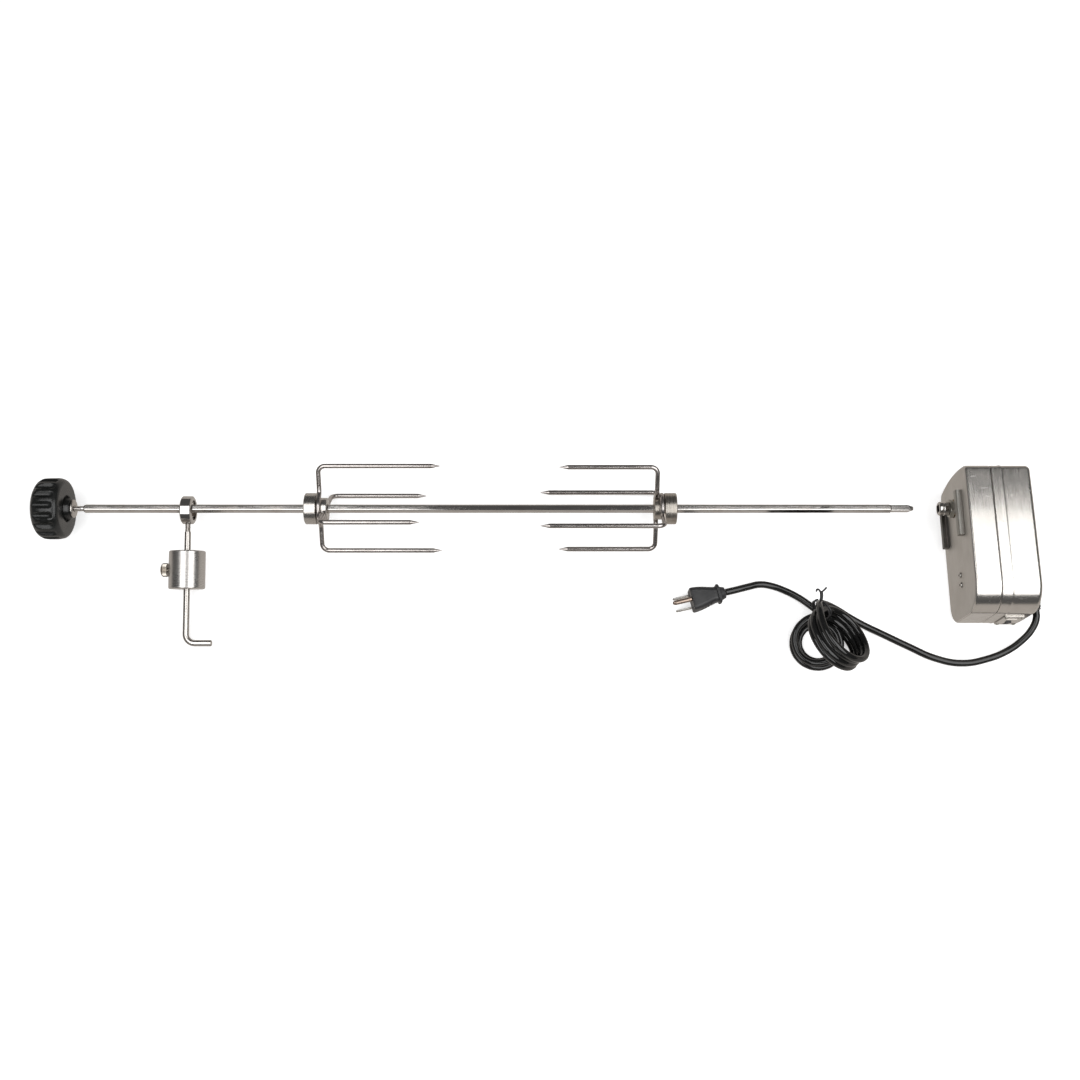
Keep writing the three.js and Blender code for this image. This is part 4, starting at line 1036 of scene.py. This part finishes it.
def bundle_loop(shift):
    """One of the wire's turns round the gathered cord, in the plane across its run."""
    centre = Vector((281, -99.5, 23))
    u, v = Vector((-0.36, 0.74, 0.57)), Vector((0.45, -0.42, 0.79))
    along = u.cross(v).normalized()
    loop = []
    for i in range(46):
        a = TAU * (i + 1) / 48
        loop.append(tuple(centre + 9.5 * math.cos(a) * u + 11.5 * math.sin(a) * v
                          + (shift * 1.1 + 0.8 * math.sin(a)) * along))
    return loop


TIE_R = 0.95
first, second = tie_wire()
tie_pieces = [("cord_tie_wire", first, ["cord_tie"]), ("cord_tie_other_end", second, []),
              ("cord_tie_turn_1", bundle_loop(-1.0), []), ("cord_tie_turn_2", bundle_loop(1.0), [])]
for name, line, nodes in tie_pieces:
    add(name, tube(line, TIE_R, 12), BLACK_PLASTIC, "housing", nodes, place=KIT, sharp=50)

# ---------- plug ----------

PLUG = KIT @ Matrix.Translation((152.6, -88.3, 11)) @ Matrix.Rotation(math.pi + math.radians(13.5), 4, "Z")


def squircle(wide, tall, corner, steps=6):
    """A rounded rectangle in (y, z)."""
    outline = []
    for cy, cz, start in ((1, 1, 0), (-1, 1, 90), (-1, -1, 180), (1, -1, 270)):
        for i in range(steps + 1):
            a = math.radians(start + 90 * i / steps)
            outline.append((cy * (wide / 2 - corner) + corner * math.cos(a),
                            cz * (tall / 2 - corner) + corner * math.sin(a)))
    return outline


def plug_shape():
    """Sections from the face back to the cord: block, waist, finger flange and neck."""
    sections = [(0, 21.9, 19.4, 3.2), (-0.35, 22.9, 20.4, 3.7), (-0.9, 23.4, 20.9, 4.0),
                (-4, 23.3, 20.8, 4.2), (-9, 22.0, 20.2, 4.4), (-14, 20.2, 18.6, 4.6),
                (-19, 18.0, 16.4, 4.8), (-23, 16.2, 14.8, 5.0),
                (-25.2, 15.6, 14.2, 5.0), (-26.4, 15.9, 14.4, 5.0), (-27.0, 18.6, 16.8, 5.2),
                (-27.6, 19.6, 17.4, 5.4), (-29.0, 19.6, 17.4, 5.4), (-29.6, 18.8, 16.8, 5.4),
                (-30.2, 14.6, 13.8, 5.6), (-31.4, 13.6, 13.2, 5.6), (-33.5, 12.2, 12.0, 5.5),
                (-34.9, 11.2, 11.2, 5.3), (-35.2, 10.2, 10.2, 4.9)]
    return loft([outline_x(squircle(wide, tall, corner), x) for x, wide, tall, corner in sections])


grooves = []
for side in (1, -1):
    for i in range(4):
        x = -9.0 - 3.1 * i
        edge = side * (11.3 - 0.36 * (i * 3.1))
        grooves.append(slab((x - 0.55, x + 0.55), sorted((edge - side * 0.9, edge + side * 3)), (-6.2, 6.2)))
add("plug_body_moulded", plug_shape(), BLACK_PLASTIC, "housing", ["plug_body"], place=PLUG,
    cuts=grooves, sharp=35)


BLADE_OUT = 12.7 / 2  # from the plug's middle to each blade


def blade_shape(side):
    """A flat blade with its tip drawn in."""
    y, t, low, high = side * BLADE_OUT, 0.75, -8.15, -1.85
    body = [(0.3, low, high), (15.2, low, high), (16.2, low + 0.6, high - 0.6), (17, low + 1.6, high - 1.6)]
    rings = []
    for x, z0, z1 in body:
        half = t if x < 16.5 else t * 0.6
        rings.append([(x, y - half, z0), (x, y + half, z0), (x, y + half, z1), (x, y - half, z1)])
    return loft(rings)


for number, side in ((1, 1), (2, -1)):
    hole = turned([(-3, 1.4), (3, 1.4)], 24)
    blade = new_object(f"plug_blade_metal_{number}", blade_shape(side), PLUG)
    through = PLUG @ Matrix.Translation((12.6, side * BLADE_OUT, -5)) @ Matrix.Rotation(math.pi / 2, 4, "Z")
    boolean(blade, [new_object("cut", hole, through)], "DIFFERENCE")
    finish_piece(blade, BLADE_METAL, "housing", [f"plug_blade_{number}"], bevel=0.12,
                 segments=2)
ground = [(0.3, 0), (0.3, 2.4), (16.5, 2.4), (18.4, 2.1), (19.5, 1.4), (20, 0.5), (20, 0)]
add("plug_ground_pin_metal", turned(soften(ground, 0.5, 3), 40, centre=(0, 6.9)), PIN_METAL, "housing",
    ["plug_ground_pin"], place=PLUG)

# ---------- inner pieces: the CAD solids with dressed edges and their own finish ----------

stood_for = set()
for thing in scene.objects:
    stood_for.update(thing.get("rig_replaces", []))
slot_of = {part["node"]: part["material_slot"] for part in frame["record"]["subparts"]}
for name, thing in frame["nodes"].items():
    if name in stood_for:
        continue
    look = SLOT_LOOKS[slot_of[name]]
    thing.data.materials.clear()
    thing.data.materials.append(look)
    flat = thing.modifiers.new("planes", "DECIMATE")
    flat.decimate_type = "DISSOLVE"
    flat.angle_limit = math.radians(1)
    round_edges(thing, 0.25, 2, 40)

# ---------- floor and light ----------

FLOOR_REFLECTED = (0.56, 0.525, 0.49)  # the floor as polished metal shows it


def choose_by_ray(tree, ray, usual, other, output):
    """Shades output with other for that kind of ray, and with usual for the rest."""
    path, choose = tree.nodes.new("ShaderNodeLightPath"), tree.nodes.new("ShaderNodeMixShader")
    tree.links.new(path.outputs[ray], choose.inputs[0])
    tree.links.new(usual.outputs[0], choose.inputs[1])
    tree.links.new(other.outputs[0], choose.inputs[2])
    tree.links.new(choose.outputs[0], output.inputs["Surface"])


def stage_floor():
    """A white floor, which polished metal sees as a warmer grey."""
    mesh = bpy.data.meshes.new("floor")
    reach = 6
    mesh.from_pydata([(-reach, -reach, 0), (reach, -reach, 0), (reach, reach, 0), (-reach, reach, 0)], [],
                     [(0, 1, 2, 3)])
    floor = bpy.data.objects.new("floor", mesh)
    floor.location.z = -TABLE_GAP
    scene.collection.objects.link(floor)
    look = bpy.data.materials.new("floor")
    look.use_nodes = True
    nodes = look.node_tree.nodes
    shader = nodes["Principled BSDF"]
    shader.inputs["Base Color"].default_value = (0.9, 0.9, 0.9, 1)
    shader.inputs["Roughness"].default_value = 0.9
    shader.inputs["Specular IOR Level"].default_value = 0.1
    shader.inputs["Emission Color"].default_value = (1, 1, 1, 1)
    shader.inputs["Emission Strength"].default_value = 0.55
    reflected = nodes.new("ShaderNodeEmission")
    reflected.inputs["Color"].default_value = (*FLOOR_REFLECTED, 1)
    choose_by_ray(look.node_tree, "Is Glossy Ray", shader, reflected, nodes["Material Output"])
    mesh.materials.append(look)


def soft_box(name, place, aim, size, radiance):
    """A rectangular light of a set radiance."""
    data = bpy.data.lights.new(name, "AREA")
    data.shape = "RECTANGLE"
    data.size, data.size_y = size
    data.energy = radiance * math.pi * size[0] * size[1]
    lamp = bpy.data.objects.new(name, data)
    lamp.location = place
    lamp.rotation_euler = (Vector(aim) - Vector(place)).to_track_quat("-Z", "Y").to_euler()
    scene.collection.objects.link(lamp)


stage_floor()
soft_box("left_box", (-0.66, -0.52, 1.45), (-0.66, -0.52, 0), (0.84, 1.95), 3.0)
soft_box("right_box", (1.05, -0.52, 1.45), (1.05, -0.52, 0), (1.5, 1.95), 3.0)

world = bpy.data.worlds.new("studio")
scene.world = world
world.use_nodes = True
nodes = world.node_tree.nodes
background = nodes["Background"]
background.inputs["Color"].default_value = (0.10, 0.10, 0.10, 1)
seen = nodes.new("ShaderNodeBackground")
seen.inputs["Color"].default_value = (1, 1, 1, 1)
choose_by_ray(world.node_tree, "Is Camera Ray", background, seen, nodes["World Output"])
scene.view_settings.view_transform = "Standard"
scene.view_settings.look = "None"
